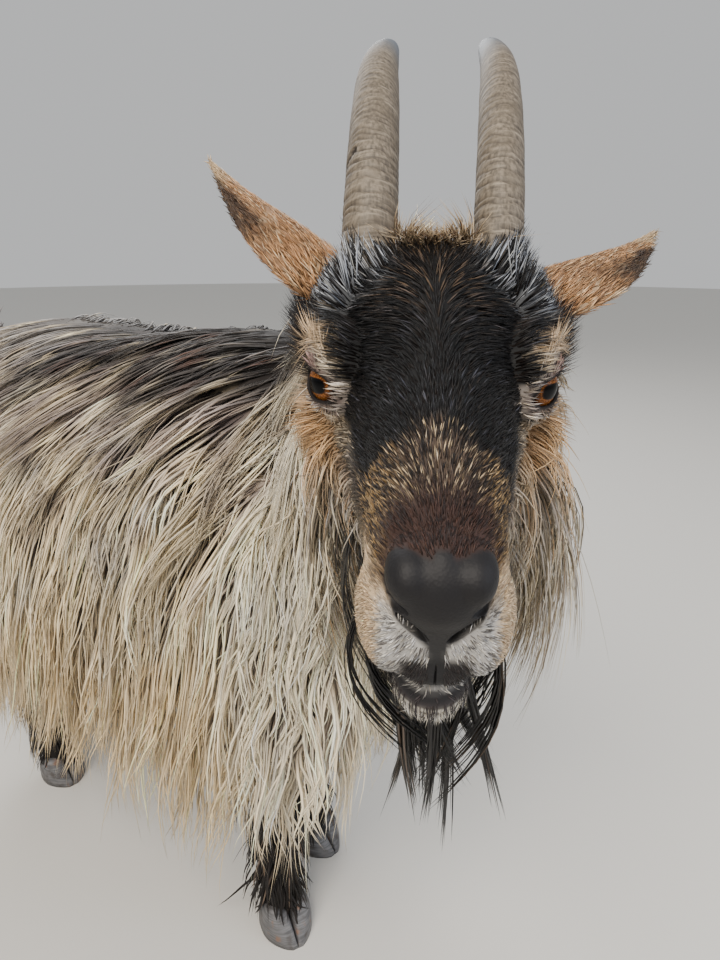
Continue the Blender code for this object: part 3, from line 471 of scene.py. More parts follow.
def ramp(values, low, high):
    """0 below low, 1 above high, and smooth between them."""
    share = np.clip((values - low) / (high - low), 0, 1)
    return share * share * (3 - 2 * share)


def mottle(places, size, seed=0):
    """Smooth noise from 0 to 1 with blotches of about this size."""
    scaled = places / size + 31.7 * seed + 1000
    cell = np.floor(scaled).astype(np.int64)
    part = scaled - cell
    part = part * part * (3 - 2 * part)
    total = np.zeros(len(places))
    for corner in range(8):
        shift = np.array([corner & 1, corner >> 1 & 1, corner >> 2 & 1])
        key = (cell + shift) @ np.array([73856093, 19349663, 83492791])
        value = (key * 2654435761 >> 9 & 0xFFFF) / 65535
        total += value * np.prod(np.where(shift, part, 1 - part), axis=1)
    return total


def laid_over(colours, colour, strength):
    """Colours with another laid over them, as strongly as each place says."""
    return colours + (linear(colour) - colours) * np.clip(strength, 0, 1)[:, None]


def painted(base, layers):
    """Colours at places: a base, with each layer's colour laid over it in turn by the layer's strength."""
    colours = np.tile(linear(base), (len(layers[0][1]), 1))
    for colour, strength in layers:
        colours = laid_over(colours, colour, strength)
    return colours


def transformed(points, matrix):
    matrix = np.array(matrix)
    return points @ matrix[:3, :3].T + matrix[:3, 3]


def in_stance(places):
    return transformed(places, stance.inverted())


def in_head(places):
    return transformed(places, head_frame.inverted())


# The cream coat's root colour is partly the undercoat's own grey-brown and partly painted shade in the gaps between the
# locks.
CREAM, CREAM_ROOT_AND_SHADE = "ECDAB6", "8A7A72"
SADDLE, SADDLE_GREY = "2A2422", "8C8782"
LEG_BLACK, LEG_ROOT = "1E1A18", "14110F"


def body_markings(places):
    """Tip and root colours of the coat at places on the body."""
    p = in_stance(places)
    x, _, z = p.T
    patch = mottle(p, 0.045, 1)
    fine = mottle(p, 0.016, 2)
    neck = ramp(x, 0.000, 0.040)
    grey_locks = ramp(z, 0.33, 0.42) * ramp(mottle(p, 0.032, 12), 0.52, 0.72) * (1 - neck)
    upper = ramp(z + 0.03 * (patch - 0.5), 0.410, 0.460) * (1 - 0.8 * neck)
    saddle = ramp(z + 0.03 * (patch - 0.5), 0.470, 0.494) * ramp(x + 0.06 * patch, -0.33, -0.20) * ramp(x, 0.055, 0.015)
    rump = ramp(z, 0.470, 0.505) * ramp(x, -0.17, -0.29)
    legs = ramp(z, 0.215, 0.175)
    tail = ramp(x, -0.430, -0.455) * ramp(z, 0.44, 0.47)
    tips = painted(
        CREAM,
        (
            ("F6EDD8", ramp(patch, 0.5, 0.8) * 0.7),
            ("B39C7C", ramp(fine, 0.62, 0.9) * 0.7),
            ("DFC18E", ramp(z, 0.34, 0.26) * 0.5),
            ("F4EBD4", neck * 0.6),
            ("8A7C78", grey_locks * 0.65),
            ("8F817C", upper * ramp(fine, 0.25, 0.6) * 0.85),
            (SADDLE, saddle * ramp(fine, 0.10, 0.30)),
            ("5B3B2C", saddle * ramp(fine, 0.66, 0.80) * 0.7),
            ("A39C96", saddle * ramp(mottle(p, 0.007, 9), 0.70, 0.85) * 0.6),
            (SADDLE_GREY, rump * ramp(fine, 0.15, 0.5) * 0.9),
            ("CFCAC2", rump * ramp(fine, 0.55, 0.75) * 0.8),
            (LEG_BLACK, legs),
            ("3A322D", tail * 0.8),
        ),
    )
    # The roots are darker than the tips. This is partly the undercoat's own colour and partly painted shade in the gaps
    # between the locks, as on the upper sides.
    roots = painted(
        CREAM_ROOT_AND_SHADE,
        (
            ("5C4C46", ramp(patch, 0.35, 0.7) * 0.8),
            ("4B4140", upper),
            ("1F1A18", saddle),
            ("4A4440", rump),
            (LEG_ROOT, legs),
        ),
    )
    return tips, roots


def mask_edge(x):
    """How far the black mask reaches to each side of the face's middle, along the head."""
    stops = [-0.085, -0.050, -0.020, 0.005, 0.020, 0.036, 0.048, 0.060, 0.068, 0.073]
    halves = [0.034, 0.043, 0.045, 0.0405, 0.0370, 0.0350, 0.0340, 0.0330, 0.0300, 0.0200]
    return np.interp(x, stops, halves)


def face_markings(places, grizzle=1):
    """Tip and root colours of the hair at places on the head. Grizzle 0 evens out single hairs."""
    p = in_head(places)
    x, y, z = p.T
    s = np.abs(y)
    fine = mottle(p, 0.005, 3)
    patch = mottle(p, 0.018, 4)
    single = 0.5 + grizzle * (mottle(p, 0.0011, 7) - 0.5)
    ragged = (0.006 + 0.10 * np.clip(x - 0.03, 0, 0.05)) * (mottle(p, 0.008, 5) + 0.6 * fine - 0.8)
    beyond_mask = s - mask_edge(x) + ragged
    reach = lid_reach(p)
    tan = np.exp(-(((x + 0.010) / 0.027) ** 2 + ((z + 0.028) / 0.015) ** 2)) * ramp(s, 0.030, 0.040)
    silver_cheek = ramp(x, 0.040, 0.015) * ramp(z, -0.046, -0.058)
    jaw = np.exp(-(((x - 0.030) / 0.022) ** 2 + ((z + 0.046) / 0.014) ** 2)) * ramp(s, 0.015, 0.025)
    bridge = ramp(x, 0.048, 0.064) * ramp(s, 0.036, 0.028) * ramp(z, -0.026, -0.010)
    golden = bridge * ramp(s, 0.010, 0.020) * ramp(x, 0.060, 0.076)
    side_line = ramp(x, 0.006, 0.024) * ramp(x, 0.100, 0.086) * ramp(z, -0.036, -0.024) * ramp(z, -0.004, -0.014)
    dark_end = ramp(x, 0.088, 0.102) * ramp(s, 0.022, 0.014) * ramp(z, -0.022, -0.010)
    lip_side = ramp(x, 0.080, 0.096) * ramp(s, 0.013, 0.018) * ramp(z + ragged, -0.010, -0.018)
    under_nose = ramp(x, 0.106, 0.114) * ramp(z, -0.014, -0.022)
    lip_spots = under_nose * ramp(s, 0.0135, 0.0095) * ramp(z, -0.033, -0.038)
    lip_spots = lip_spots * ramp(z, MOUTH_Z + 0.004, MOUTH_Z + 0.007)
    lower_lip = ramp(x, 0.090, 0.102) * ramp(z, MOUTH_Z + 0.0008, MOUTH_Z - 0.0008)
    chin_fringe = ramp(x, 0.088, 0.100) * ramp(z, MOUTH_Z - 0.0050, MOUTH_Z - 0.0070)
    lip_fringe = ramp(x, 0.112, 0.118) * ramp(np.abs(z - MOUTH_Z - 0.0035), 0.0022, 0.0010)
    mask = ramp(mask_edge(x) - s + ragged, -0.0012, 0.0012) * ramp(z, -0.012, -0.004)
    mask = mask * ramp(x - 0.50 * s + 1.6 * ragged, 0.069, 0.062)
    temple = ramp(x + ragged, -0.014, -0.022) * ramp(s, 0.041, 0.046) * ramp(z, -0.016, -0.006)
    stripe = ramp(x, -0.026, -0.016) * ramp(x, 0.016, 0.006) * ramp(beyond_mask, -0.001, 0.002)
    pink_lid = ramp(reach, 1.80, 1.60) * ramp(z - EYE_UP, 0.0040, 0.0070) * ramp(x, 0.010, 0.002)
    silver = ramp(x, -0.012, -0.034) * ramp(s, 0.010, 0.022) * ramp(z, 0.014, 0.026) * ramp(s, 0.060, 0.052)
    crown = ramp(x, -0.040, -0.052) * ramp(s, 0.024, 0.016) * ramp(z, 0.020, 0.034)
    middle_hairs = np.exp(-(((x + 0.018) / 0.020) ** 2) - (s / 0.024) ** 2)
    tips = painted(
        "B4A48C",
        (
            ("77706A", ramp(patch, 0.45, 0.75) * 0.8),
            ("DDD0B8", ramp(fine, 0.60, 0.85) * 0.7),
            ("CFA678", 1.2 * tan),
            ("A9A7A5", silver_cheek * ramp(single, 0.35, 0.55)),
            ("AE7E4F", 1.1 * jaw * ramp(patch, 0.2, 0.5)),
            ("56483D", bridge),
            ("1D1817", bridge * ramp(single, 0.50, 0.58)),
            ("BFAB8C", bridge * ramp(single, 0.38, 0.28) * 0.95),
            ("A38350", golden * ramp(single, 0.55, 0.40) * 0.7),
            ("2A2423", side_line * ramp(s, 0.022, 0.028) * ramp(single, 0.62, 0.45) * 0.9),
            ("422E28", dark_end),
            ("241B1A", dark_end * ramp(single, 0.50, 0.62)),
            ("E6CBA6", lip_side),
            ("B3967A", lip_side * ramp(single, 0.52, 0.64) * 0.6),
            ("CBC8C3", under_nose * ramp(s, 0.021, 0.017)),
            ("3C3838", under_nose * ramp(single, 0.54, 0.64) * ramp(s, 0.023, 0.016) * 0.85),
            ("262324", lip_spots),
            ("353032", lower_lip),
            ("E6E0D4", chin_fringe),
            ("D8D2C8", lip_fringe * 0.8 * grizzle),
            ("09090B", mask),
            # Single hairs in the black mask are painted cool grey: painted highlights on the black hair.
            ("3A3B42", mask * ramp(single, 0.76, 0.82)),
            ("151214", temple),
            ("BBA284", stripe * ramp(z, -0.002, 0.008) * ramp(single, 0.20, 0.38)),
            ("8F867F", ramp(reach, 2.15, 1.85) * 0.85),
            ("DACDBD", ramp(reach, 2.20, 2.00) * ramp(single, 0.55, 0.66)),
            ("6F5C55", ramp(reach, 1.65, 1.45) * 0.7),
            ("A8857E", pink_lid * 0.9),
            ("171110", ramp(reach, 1.42, 1.24)),
            ("A9AEB5", silver * ramp(single, 0.46, 0.60)),
            ("6B5644", crown),
            ("C0AB8C", crown * ramp(single, 0.36, 0.46)),
            ("62503F", middle_hairs * ramp(single, 0.60, 0.68)),
        ),
    )
    roots = tips * 0.5 + linear("3A2E28") * 0.25
    return tips, roots


def lid_reach(p):
    """How far places on the head are from an eye, in half sizes of its opening: 1 on the lids' rims."""
    reaches = []
    for side in (-1, 1):
        forward, across, up = ((p - np.array(eye_centre(side))) @ np.array(lid_aim(side))).T
        reaches.append(np.where(forward > 0.003, np.hypot(across / OPENING_HALF[0], up / OPENING_HALF[1]), 9))
    return np.minimum(*reaches)


def ear_markings(places):
    """Tip and root colours of an ear: tan back, dark hollow and lower edge, cream fringe."""
    p = in_head(places)
    fine = mottle(p, 0.006, 6)
    single = mottle(p, 0.0011, 8)
    tips = painted(
        "B48A62",
        (
            ("D3B794", ramp(single, 0.60, 0.70)),
            ("6B503B", ramp(single, 0.40, 0.30) * 0.8),
            ("A07450", ramp(fine, 0.5, 0.8) * 0.6),
        ),
    )
    for name, side in SIDES.items():
        root, tip = np.array(EAR_ROOTS[name]), np.array(EAR_TIPS[name])
        axis = (tip - root) / np.linalg.norm(tip - root)
        across = np.cross(axis, on_side(EAR_OPENS, side))
        across = across / np.linalg.norm(across)
        across = across * np.sign((np.array(head_frame.to_3x3()) @ across)[2])
        mine = np.sign(p[:, 1]) == side
        along = ((p - root) @ axis) / np.linalg.norm(tip - root)
        edge = ((p - root) @ across) / np.interp(along, (0, 0.5, 0.8, 1), (0.030, 0.031, 0.018, 0.004))
        low = mine * ramp(edge + 0.35 * (fine - 0.5), 0.58, 0.82) * ramp(along, 0.25, 0.50)
        tips = laid_over(tips, "CDB590", mine * ramp(along + 0.2 * (fine - 0.5), 0.74, 0.90) * 0.8)
        tips = laid_over(tips, "2A211D", low * 0.9)
    return tips, tips * 0.6


# The skin's finish: living skin, matte and creased, pinkish brown under pale hair and dark under
# black, bare and pebbled like leather on the nose, where it shines with wet.


def node(tree, kind, parts=()):
    """Adds a node. Each property or socket named is set to its value, or linked from another node's socket."""
    made = tree.nodes.new(kind)
    for key, value in dict(parts).items():
        if isinstance(key, str) and hasattr(made, key):
            setattr(made, key, value)
        elif isinstance(value, bpy.types.NodeSocket):
            tree.links.new(value, made.inputs[key])
        else:
            made.inputs[key].default_value = value
    return made


def finish(name, **sockets):
    """A new Principled material with its own sockets set, and its tree and shader."""
    made = bpy.data.materials.new(name)
    made.use_nodes = True
    shader = made.node_tree.nodes["Principled BSDF"]
    for key, value in sockets.items():
        shader.inputs[key.replace("_", " ")].default_value = value
    return made, made.node_tree, shader


goat_skin, tree, shader = finish("goat_skin_matte", IOR=1.45, Specular_IOR_Level=0.35)
colour = node(tree, "ShaderNodeVertexColor", {"layer_name": "markings"})
wet = node(tree, "ShaderNodeAttribute", {"attribute_name": "wet"})
place = node(tree, "ShaderNodeTexCoord")
# Creases about 2 mm apart all over, and pebbles of about 1 mm on the nose.
creases = node(tree, "ShaderNodeTexNoise", {"Scale": 450.0, "Detail": 3.0, "Vector": place.outputs["Object"]})
pebbles = node(tree, "ShaderNodeTexVoronoi", {"Scale": 1000.0, "Vector": place.outputs["Object"]})
mixed = node(
    tree,
    "ShaderNodeMix",
    {"data_type": "FLOAT", 0: wet.outputs["Fac"], 2: creases.outputs["Fac"], 3: pebbles.outputs["Distance"]},
)
bump = node(tree, "ShaderNodeBump", {"Strength": 0.40, "Distance": 0.0002, "Height": mixed.outputs[0]})
rough = node(tree, "ShaderNodeMapRange", {"To Min": 0.72, "To Max": 0.60, "Value": wet.outputs["Fac"]})
tree.links.new(colour.outputs["Color"], shader.inputs["Base Color"])
tree.links.new(rough.outputs["Result"], shader.inputs["Roughness"])
tree.links.new(bump.outputs["Normal"], shader.inputs["Normal"])


def read(mesh, kind, name, width):
    """One of a mesh's arrays of numbers."""
    items = getattr(mesh, kind)
    values = np.empty(len(items) * width, np.float32)
    items.foreach_get(name, values)
    return values.reshape(-1, width).astype(np.float64)


def nose_share(places):
    """1 on the bare leather of the nose and the rims of the nostrils, 0 on haired skin."""
    p = in_head(places)
    x, y, z = p.T
    s = np.abs(y)
    pad = ramp(x + 0.60 * s, 0.1205, 0.1235) * ramp(s, 0.0195, 0.0170) * ramp(z - 1.1 * s, -0.0355, -0.0330)
    stem = ramp(x, 0.116, 0.119) * ramp(s, 0.0036, 0.0022) * ramp(z, MOUTH_Z - 0.001, MOUTH_Z + 0.006)
    lips = ramp(x, 0.070, 0.095) * ramp(np.abs(z - MOUTH_Z + 0.0010), 0.0028, 0.0016)
    return np.clip(pad + stem + 0.8 * lips, 0, 1)


# The lids' folds, in metres: how far from the middle of the eye, how far apart and how high.
FOLDS_FROM, FOLDS_APART, FOLD_HEIGHT = 0.0146, 0.0036, 0.00055


def lid_folds(places, normals):
    """Pushes the skin round each eye into two fine folds, and thickens the lids' rims."""
    p = in_head(places)
    for side in (-1, 1):
        away = np.linalg.norm(p - np.array(eye_centre(side)), axis=1)
        folds = np.sin((away - FOLDS_FROM) * 2 * np.pi / FOLDS_APART)
        folds = folds * ramp(away, 0.0148, 0.0156) * ramp(away, 0.0240, 0.0180)
        places = places + normals * (FOLD_HEIGHT * folds)[:, None]
    return places


head_places = read(head.data, "vertices", "co", 3)
head_places = lid_folds(head_places, read(head.data, "vertices", "normal", 3))
head.data.vertices.foreach_set("co", head_places.astype(np.float32).ravel())
head.data.update()

flesh = {"body": body, "head": head, "ear_right": ears["right"], "ear_left": ears["left"]}
for name, obj in flesh.items():
    places = read(obj.data, "vertices", "co", 3)
    if name == "body":
        tips, roots = body_markings(places)
        colours = roots * 0.65 + tips * 0.15
    elif name == "head":
        tips, roots = face_markings(places, 0)
        colours = laid_over(tips * 0.62, "0F0F12", nose_share(places) * 0.97)
    else:
        tips, roots = ear_markings(places)
        colours = roots * 0.9
    wetness = nose_share(places) if name == "head" else np.zeros(len(places))
    layer = obj.data.color_attributes.new("markings", "FLOAT_COLOR", "POINT")
    layer.data.foreach_set("color", np.column_stack([colours, np.ones(len(colours))]).astype(np.float32).ravel())
    layer = obj.data.attributes.new("wet", "FLOAT", "POINT")
    layer.data.foreach_set("value", wetness.astype(np.float32))

grown_on = {
    name: BVHTree.FromPolygons([v.co.copy() for v in obj.data.vertices], [tuple(f.vertices) for f in obj.data.polygons])
    for name, obj in flesh.items()
}
skin_mesh = bmesh.new()
for obj in flesh.values():
    skin_mesh.from_mesh(obj.data)
skin = bpy.data.objects.new("skin", bpy.data.meshes.new("skin"))
skin_mesh.to_mesh(skin.data)
skin_mesh.free()
bpy.context.scene.collection.objects.link(skin)
skin.data.materials.append(goat_skin)
skin.data.shade_smooth()
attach(skin, "root")
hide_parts("torso", "neck", "head", "tail", "ear_right", "ear_left", *("leg_" + name for name in FEET))


# The eyes: a goat's amber iris fills the opening of the lids, with fine fibres that run out from
# a level, bar-shaped pupil to a dark rim. A clear wet cornea bulges over it.

PUPIL_HALF_MM = (6.2, 3.5)
MM = 1000

eyeball_wet, tree, shader = finish(
    "cornea_over_amber_iris", IOR=1.376, Roughness=0.25, Specular_IOR_Level=0.05, Coat_Weight=0.18, Coat_Roughness=0.02
)
look = node(tree, "ShaderNodeUVMap", {"uv_map": "look"})
split = node(tree, "ShaderNodeSeparateXYZ", {"Vector": look.outputs["UV"]})


def stained(tree, base, rows):
    """A base colour with stains over it. Each row gives a socket, its values where the stain is absent and
    full, the full stain's strength, and its colour."""
    if isinstance(base, str):
        base = (*linear(base), 1)
    for source, absent, full, strength, colour in rows:
        share = node(
            tree,
            "ShaderNodeMapRange",
            {
                "interpolation_type": "SMOOTHSTEP",
                "Value": source,
                "From Min": absent,
                "From Max": full,
                "To Max": strength,
            },
        )
        mixed = {"data_type": "RGBA", 0: share.outputs["Result"], 6: base, 7: (*linear(colour), 1)}
        base = node(tree, "ShaderNodeMix", mixed).outputs[2]
    return base


# The map holds millimetres from the middle of the pupil, across and up. The cubes of both, in the pupil's half
# sizes, add up to 1 on its rim, which makes a bar with round ends.
cubes = []
for way, half in zip("XY", PUPIL_HALF_MM):
    cube = split.outputs[way]
    for operation, number in (("ABSOLUTE", 0), ("DIVIDE", half), ("POWER", 3.0)):
        cube = node(tree, "ShaderNodeMath", {"operation": operation, 0: cube, 1: number}).outputs[0]
    cubes.append(cube)
bar = node(tree, "ShaderNodeMath", {"operation": "ADD", 0: cubes[0], 1: cubes[1]})
radius = node(tree, "ShaderNodeVectorMath", {"operation": "LENGTH", 0: look.outputs["UV"]}).outputs["Value"]
angle = node(tree, "ShaderNodeMath", {"operation": "ARCTAN2", 0: split.outputs["Y"], 1: split.outputs["X"]})
outwards = node(tree, "ShaderNodeMath", {"operation": "MULTIPLY", 0: radius, 1: 0.12})
spokes = node(tree, "ShaderNodeCombineXYZ", {"X": angle.outputs[0], "Y": outwards.outputs[0]})
# About 60 fibres round the iris.
fibres = node(tree, "ShaderNodeTexNoise", {"Scale": 10.0, "Detail": 6.0, "Vector": spokes.outputs["Vector"]})
iris = stained(
    tree,
    "46260F",
    (
        (fibres.outputs["Fac"], 0.38, 0.62, 1, "8A5424"),
        (radius, 5.5, 9.5, 1, "341A08"),
        (radius, 8.2, 10.0, 1, "0E0907"),
        (bar.outputs[0], 1.35, 0.75, 1, "010102"),
    ),
)
tree.links.new(iris, shader.inputs["Base Color"])

for name, side in SIDES.items():
    rings, spokes_round = 48, 64
    gaze = head_frame.to_3x3() @ eye_axis(side)
    level = UP.cross(gaze).normalized()
    rise_axis = gaze.cross(level)
    shape = bmesh.new()
    rows = []
    for k in range(1, rings):
        turn = math.pi * (k / rings) ** 1.3
        bulge = 0.0005 * max(0, 1 - (math.sin(turn) * EYE_RADIUS / 0.0100) ** 2) if turn < 1.5 else 0
        row = []
        for j in range(spokes_round):
            swing = 2 * math.pi * j / spokes_round
            out = gaze * math.cos(turn) + (level * math.cos(swing) + rise_axis * math.sin(swing)) * math.sin(turn)
            row.append(shape.verts.new(out * (EYE_RADIUS - 0.0002 + bulge)))
        rows.append(row)
    front = shape.verts.new(gaze * (EYE_RADIUS + 0.0003))
    back = shape.verts.new(-gaze * (EYE_RADIUS - 0.0002))
    for j in range(spokes_round):
        n = (j + 1) % spokes_round
        shape.faces.new((front, rows[0][n], rows[0][j]))
        shape.faces.new((back, rows[-1][j], rows[-1][n]))
        for first, second in zip(rows, rows[1:]):
            shape.faces.new((first[j], first[n], second[n], second[j]))
    layer = shape.loops.layers.uv.new("look")
    for face in shape.faces:
        for loop in face.loops:
            loop[layer].uv = (loop.vert.co.dot(level) * MM, loop.vert.co.dot(rise_axis) * MM)
    eye = solid("eyeball_" + name, shape, eyeball_wet)
    eye.data.transform(head_frame @ Matrix.Translation(eye_centre(side)) @ head_frame.to_3x3().inverted().to_4x4())
    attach(eye, "root")
    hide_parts("eye_" + name)


# The horns: hollow sheaths of keratin over bone cores, grown in rings a few millimetres apart,
# grey-brown and rough below, worn smooth and slaty at the blunt tips, which lean in a little.

HORN_LENGTHS = {"right": 0.169, "left": 0.172}
HORN_RADII = {"right": 0.0134, "left": 0.0120}
HORN_SPREAD = {"right": 0.000, "left": 0.035}
HORN_ROOT = (-0.060, 0.0305, 0.034)
LEAN_AT_ROOT, LEAN_AT_TIP = 50, 8
HORN_OVAL = 1.22

horn_keratin, tree, shader = finish("horn_keratin_ringed", IOR=1.55, Specular_IOR_Level=0.42)
grown = node(tree, "ShaderNodeAttribute", {"attribute_name": "grown"})
groove = node(tree, "ShaderNodeAttribute", {"attribute_name": "groove"})
place = node(tree, "ShaderNodeTexCoord")
# Streaks along the horn, about 1.4 mm wide and 25 mm long, and stains of about 12 mm.
along = node(tree, "ShaderNodeMapping", {"Scale": (700.0, 700.0, 40.0), "Vector": place.outputs["Object"]})
streaks = node(tree, "ShaderNodeTexNoise", {"Scale": 1.0, "Detail": 4.0, "Vector": along.outputs["Vector"]})
stains = node(tree, "ShaderNodeTexNoise", {"Scale": 80.0, "Detail": 3.0, "Vector": place.outputs["Object"]})
rings_high = node(tree, "ShaderNodeMath", {"operation": "MULTIPLY", 0: grown.outputs["Fac"], 1: 1.9}).outputs[0]
# Fine rings about 1.5 mm apart between the grooves.
fine_rings = node(
    tree,
    "ShaderNodeTexNoise",
    {"noise_dimensions": "4D", "Scale": 60.0, "Detail": 3.0, "Vector": place.outputs["Object"], "W": rings_high},
)
base = stained(
    tree,
    "4E463B",
    (
        (streaks.outputs["Fac"], 0.30, 0.72, 1, "7A6F60"),
        (fine_rings.outputs["Fac"], 0.50, 0.72, 0.6, "9A8F7E"),
        (fine_rings.outputs["Fac"], 0.44, 0.30, 0.6, "352E26"),
        (stains.outputs["Fac"], 0.45, 0.7, 0.55, "5D5345"),
    ),
)
# Painted shade in the grooves between the rings: the horn's colour darkens to deep brown where a groove runs.
groove_painted_shade = node(tree, "ShaderNodeMath", {"operation": "MULTIPLY", 0: groove.outputs["Fac"], 1: 0.75})
grooved = {"data_type": "RGBA", 0: groove_painted_shade.outputs[0], 6: base, 7: (*linear("241D17"), 1)}
base = node(tree, "ShaderNodeMix", grooved).outputs[2]
base = stained(tree, base, ((grown.outputs["Fac"], 0.72, 0.97, 0.80, "4E5A68"),))
tree.links.new(base, shader.inputs["Base Color"])
smoother = {"interpolation_type": "SMOOTHSTEP", "From Min": 0.72, "From Max": 0.97, "To Min": 0.62, "To Max": 0.50}
worn = node(tree, "ShaderNodeMapRange", smoother | {"Value": grown.outputs["Fac"]})
tree.links.new(worn.outputs["Result"], shader.inputs["Roughness"])
grain = node(tree, "ShaderNodeBump", {"Strength": 0.6, "Distance": 0.0005, "Height": fine_rings.outputs["Fac"]})
tree.links.new(grain.outputs["Normal"], shader.inputs["Normal"])

for name, side in SIDES.items():
    rings, round_points = 190, 44
    rng = np.random.default_rng(41 + side)
    ring_edges = np.cumsum(rng.uniform(0.014, 0.042, 60) * np.linspace(1.1, 0.6, 60))
    point = Vector(on_side(HORN_ROOT, side))
    lean = math.radians(LEAN_AT_ROOT)
    sunk = point - Vector((-math.cos(lean), side * HORN_SPREAD[name], math.sin(lean))) * 0.007
    shape = bmesh.new()
    grown_layer = shape.verts.layers.float.new("grown")
    groove_layer = shape.verts.layers.float.new("groove")
    rows = []
    for k in range(rings + 1):
        share = k / rings
        lean = math.radians(LEAN_AT_ROOT + (LEAN_AT_TIP - LEAN_AT_ROOT) * share)
        along = Vector((-math.cos(lean), side * HORN_SPREAD[name], math.sin(lean))).normalized()
        if k:
            point = point + along * (HORN_LENGTHS[name] / rings)
            point.y -= side * 0.0019 * 18 / rings * max(0, share - 0.7) / 0.3
        taper = 1 - 0.13 * share - 0.45 * share**6
        across = along.cross(Vector((0, 1, 0))).normalized()
        wide = across.cross(along).normalized()
        row = []
        for j in range(round_points):
            turn = 2 * math.pi * j / round_points
            waver = 0.006 * math.sin(turn * 2 + 9 * share) + 0.004 * math.sin(turn * 5 + 31 * share)
            nearest = float(np.min(np.abs(ring_edges - (share + waver))))
            groove_here = max(0, 1 - nearest / 0.0050) * (1 - 0.75 * share)
            # One deep old notch in the right horn.
            if side < 0 and abs(turn - 4.15) < 0.30 and abs(share - 0.30 + 0.04 * (turn - 4.15)) < 0.010:
                groove_here = 1.6
            swell = 1 + 0.034 * (1 - share) * (1 - 2.4 * groove_here) + 0.006 * math.sin(turn * 3 + 40 * share)
            radius = HORN_RADII[name] * taper * swell * 0.995
            centre = point if k else sunk
            out = across * (HORN_OVAL * radius * math.cos(turn)) + wide * (radius * math.sin(turn))
            vert = shape.verts.new(centre + out)
            vert[grown_layer] = share
            vert[groove_layer] = groove_here
            row.append(vert)
        rows.append(row)
    for scale, ahead in ((0.82, 0.0028), (0.50, 0.0048), (0.18, 0.0058)):
        centre = point + along * ahead
        row = []
        for vert in rows[rings]:
            fresh = shape.verts.new(centre + (vert.co - point) * scale)
            fresh[grown_layer] = 1
            row.append(fresh)
        rows.append(row)
    skin_between(shape, rows)
    shape.transform(head_frame)
    horn = solid("horn_sheath_" + name, shape, horn_keratin)
    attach(horn, "root")
    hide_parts("horn_" + name)


# The hooves: two claws to a foot, each a wall of grey keratin with fine growth lines round it, and
# two small blunt dewclaws behind. They are worn flat underneath and stand on the ground.

CLAW_LENGTH, CLAW_HALF, CLAW_HEIGHT = 0.050, 0.0112, 0.031
CLAW_GAP = 0.0003
CLAW_RINGS, CLAW_ARC = 36, 19

hoof_keratin, tree, shader = finish("hoof_keratin_worn", IOR=1.55, Roughness=0.55, Specular_IOR_Level=0.4)
place = node(tree, "ShaderNodeTexCoord")
# Growth lines run level round the wall, about 1.5 mm apart, and stains are about 10 mm across.
level_lines = node(tree, "ShaderNodeMapping", {"Scale": (60.0, 60.0, 650.0), "Vector": place.outputs["Object"]})
lines = node(tree, "ShaderNodeTexNoise", {"Scale": 1.0, "Detail": 3.0, "Vector": level_lines.outputs["Vector"]})
stains = node(tree, "ShaderNodeTexNoise", {"Scale": 95.0, "Detail": 4.0, "Vector": place.outputs["Object"]})
base = stained(
    tree,
    "48484A",
    (
        (lines.outputs["Fac"], 0.30, 0.70, 1, "6C6C6E"),
        (stains.outputs["Fac"], 0.52, 0.75, 1, "3E3733"),
        (stains.outputs["Fac"], 0.40, 0.28, 0.6, "80573A"),
    ),
)
tree.links.new(base, shader.inputs["Base Color"])
wall = node(tree, "ShaderNodeBump", {"Strength": 0.35, "Distance": 0.0003, "Height": lines.outputs["Fac"]})
tree.links.new(wall.outputs["Normal"], shader.inputs["Normal"])

claw_profile = [
    # share of the length from heel to toe, share of the half width, height of the top
    (0.00, 0.55, 0.62),
    (0.12, 0.90, 0.80),
    (0.35, 1.00, 0.95),
    (0.58, 0.96, 1.00),
    (0.78, 0.74, 0.72),
    (0.93, 0.44, 0.38),
    (1.00, 0.20, 0.20),
]
for foot_name, (x, y, toe_turn) in FEET.items():
    foot_place = stance @ Matrix.Translation((x, y, 0)) @ Matrix.Rotation(math.radians(toe_turn), 4, "Z")
    for label, which in (("outer", 1), ("inner", -1)):
        which = which if y > 0 else -which
        shape = bmesh.new()
        rows = []
        for k in range(CLAW_RINGS + 1):
            share, width, height = spline(claw_profile, k / CLAW_RINGS)
            half, top = CLAW_HALF * width, CLAW_HEIGHT * height
            ring = []
            for j in range(CLAW_ARC + 1):
                turn = math.pi * j / CLAW_ARC
                side_reach = (1 - math.copysign(abs(math.cos(turn)) ** 0.55, math.cos(turn))) * half
                ring.append((CLAW_GAP + side_reach * 0.98, top * math.sin(turn) ** 0.6 * (1 - 0.12 * j / CLAW_ARC)))
            along = (share - 0.5) * CLAW_LENGTH + 0.004
            rows.append([shape.verts.new((along, which * a, b)) for a, b in ring])
        skin_between(shape, rows)
        shape.transform(foot_place)
        claw = solid(f"hoof_{foot_name}_{label}", shape, hoof_keratin)
        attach(claw, "root")
        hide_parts(f"claw_{foot_name}_{label}")
        shape = bmesh.new()
        dew_stations = [
            (-0.022, which * 0.0095, 0.060, 0.0055, 0.0062),
            (-0.033, which * 0.0110, 0.054, 0.0060, 0.0066),
            (-0.040, which * 0.0120, 0.046, 0.0048, 0.0050),
            (-0.043, which * 0.0125, 0.040, 0.0018, 0.0018),
        ]
        limb(shape, dew_stations, sides=20)
        shape.transform(foot_place)
        dew = solid(f"dew_{foot_name}_{label}", shape, hoof_keratin)
        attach(dew, "root")
        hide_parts(f"dewclaw_{foot_name}_{label}")


# The hair: each tuft is a thin tapered blade of hairs that cling together. Guides are combed over
# the skin first, and the tufts near one follow it and draw in to its tip, which makes the locks.


def unit(vectors):
    return vectors / np.maximum(np.linalg.norm(vectors, axis=-1, keepdims=True), 1e-9)


def directions(x, y, z):
    """Vectors from three numbers, or arrays of them."""
    return np.column_stack(np.broadcast_arrays(x, y, z))


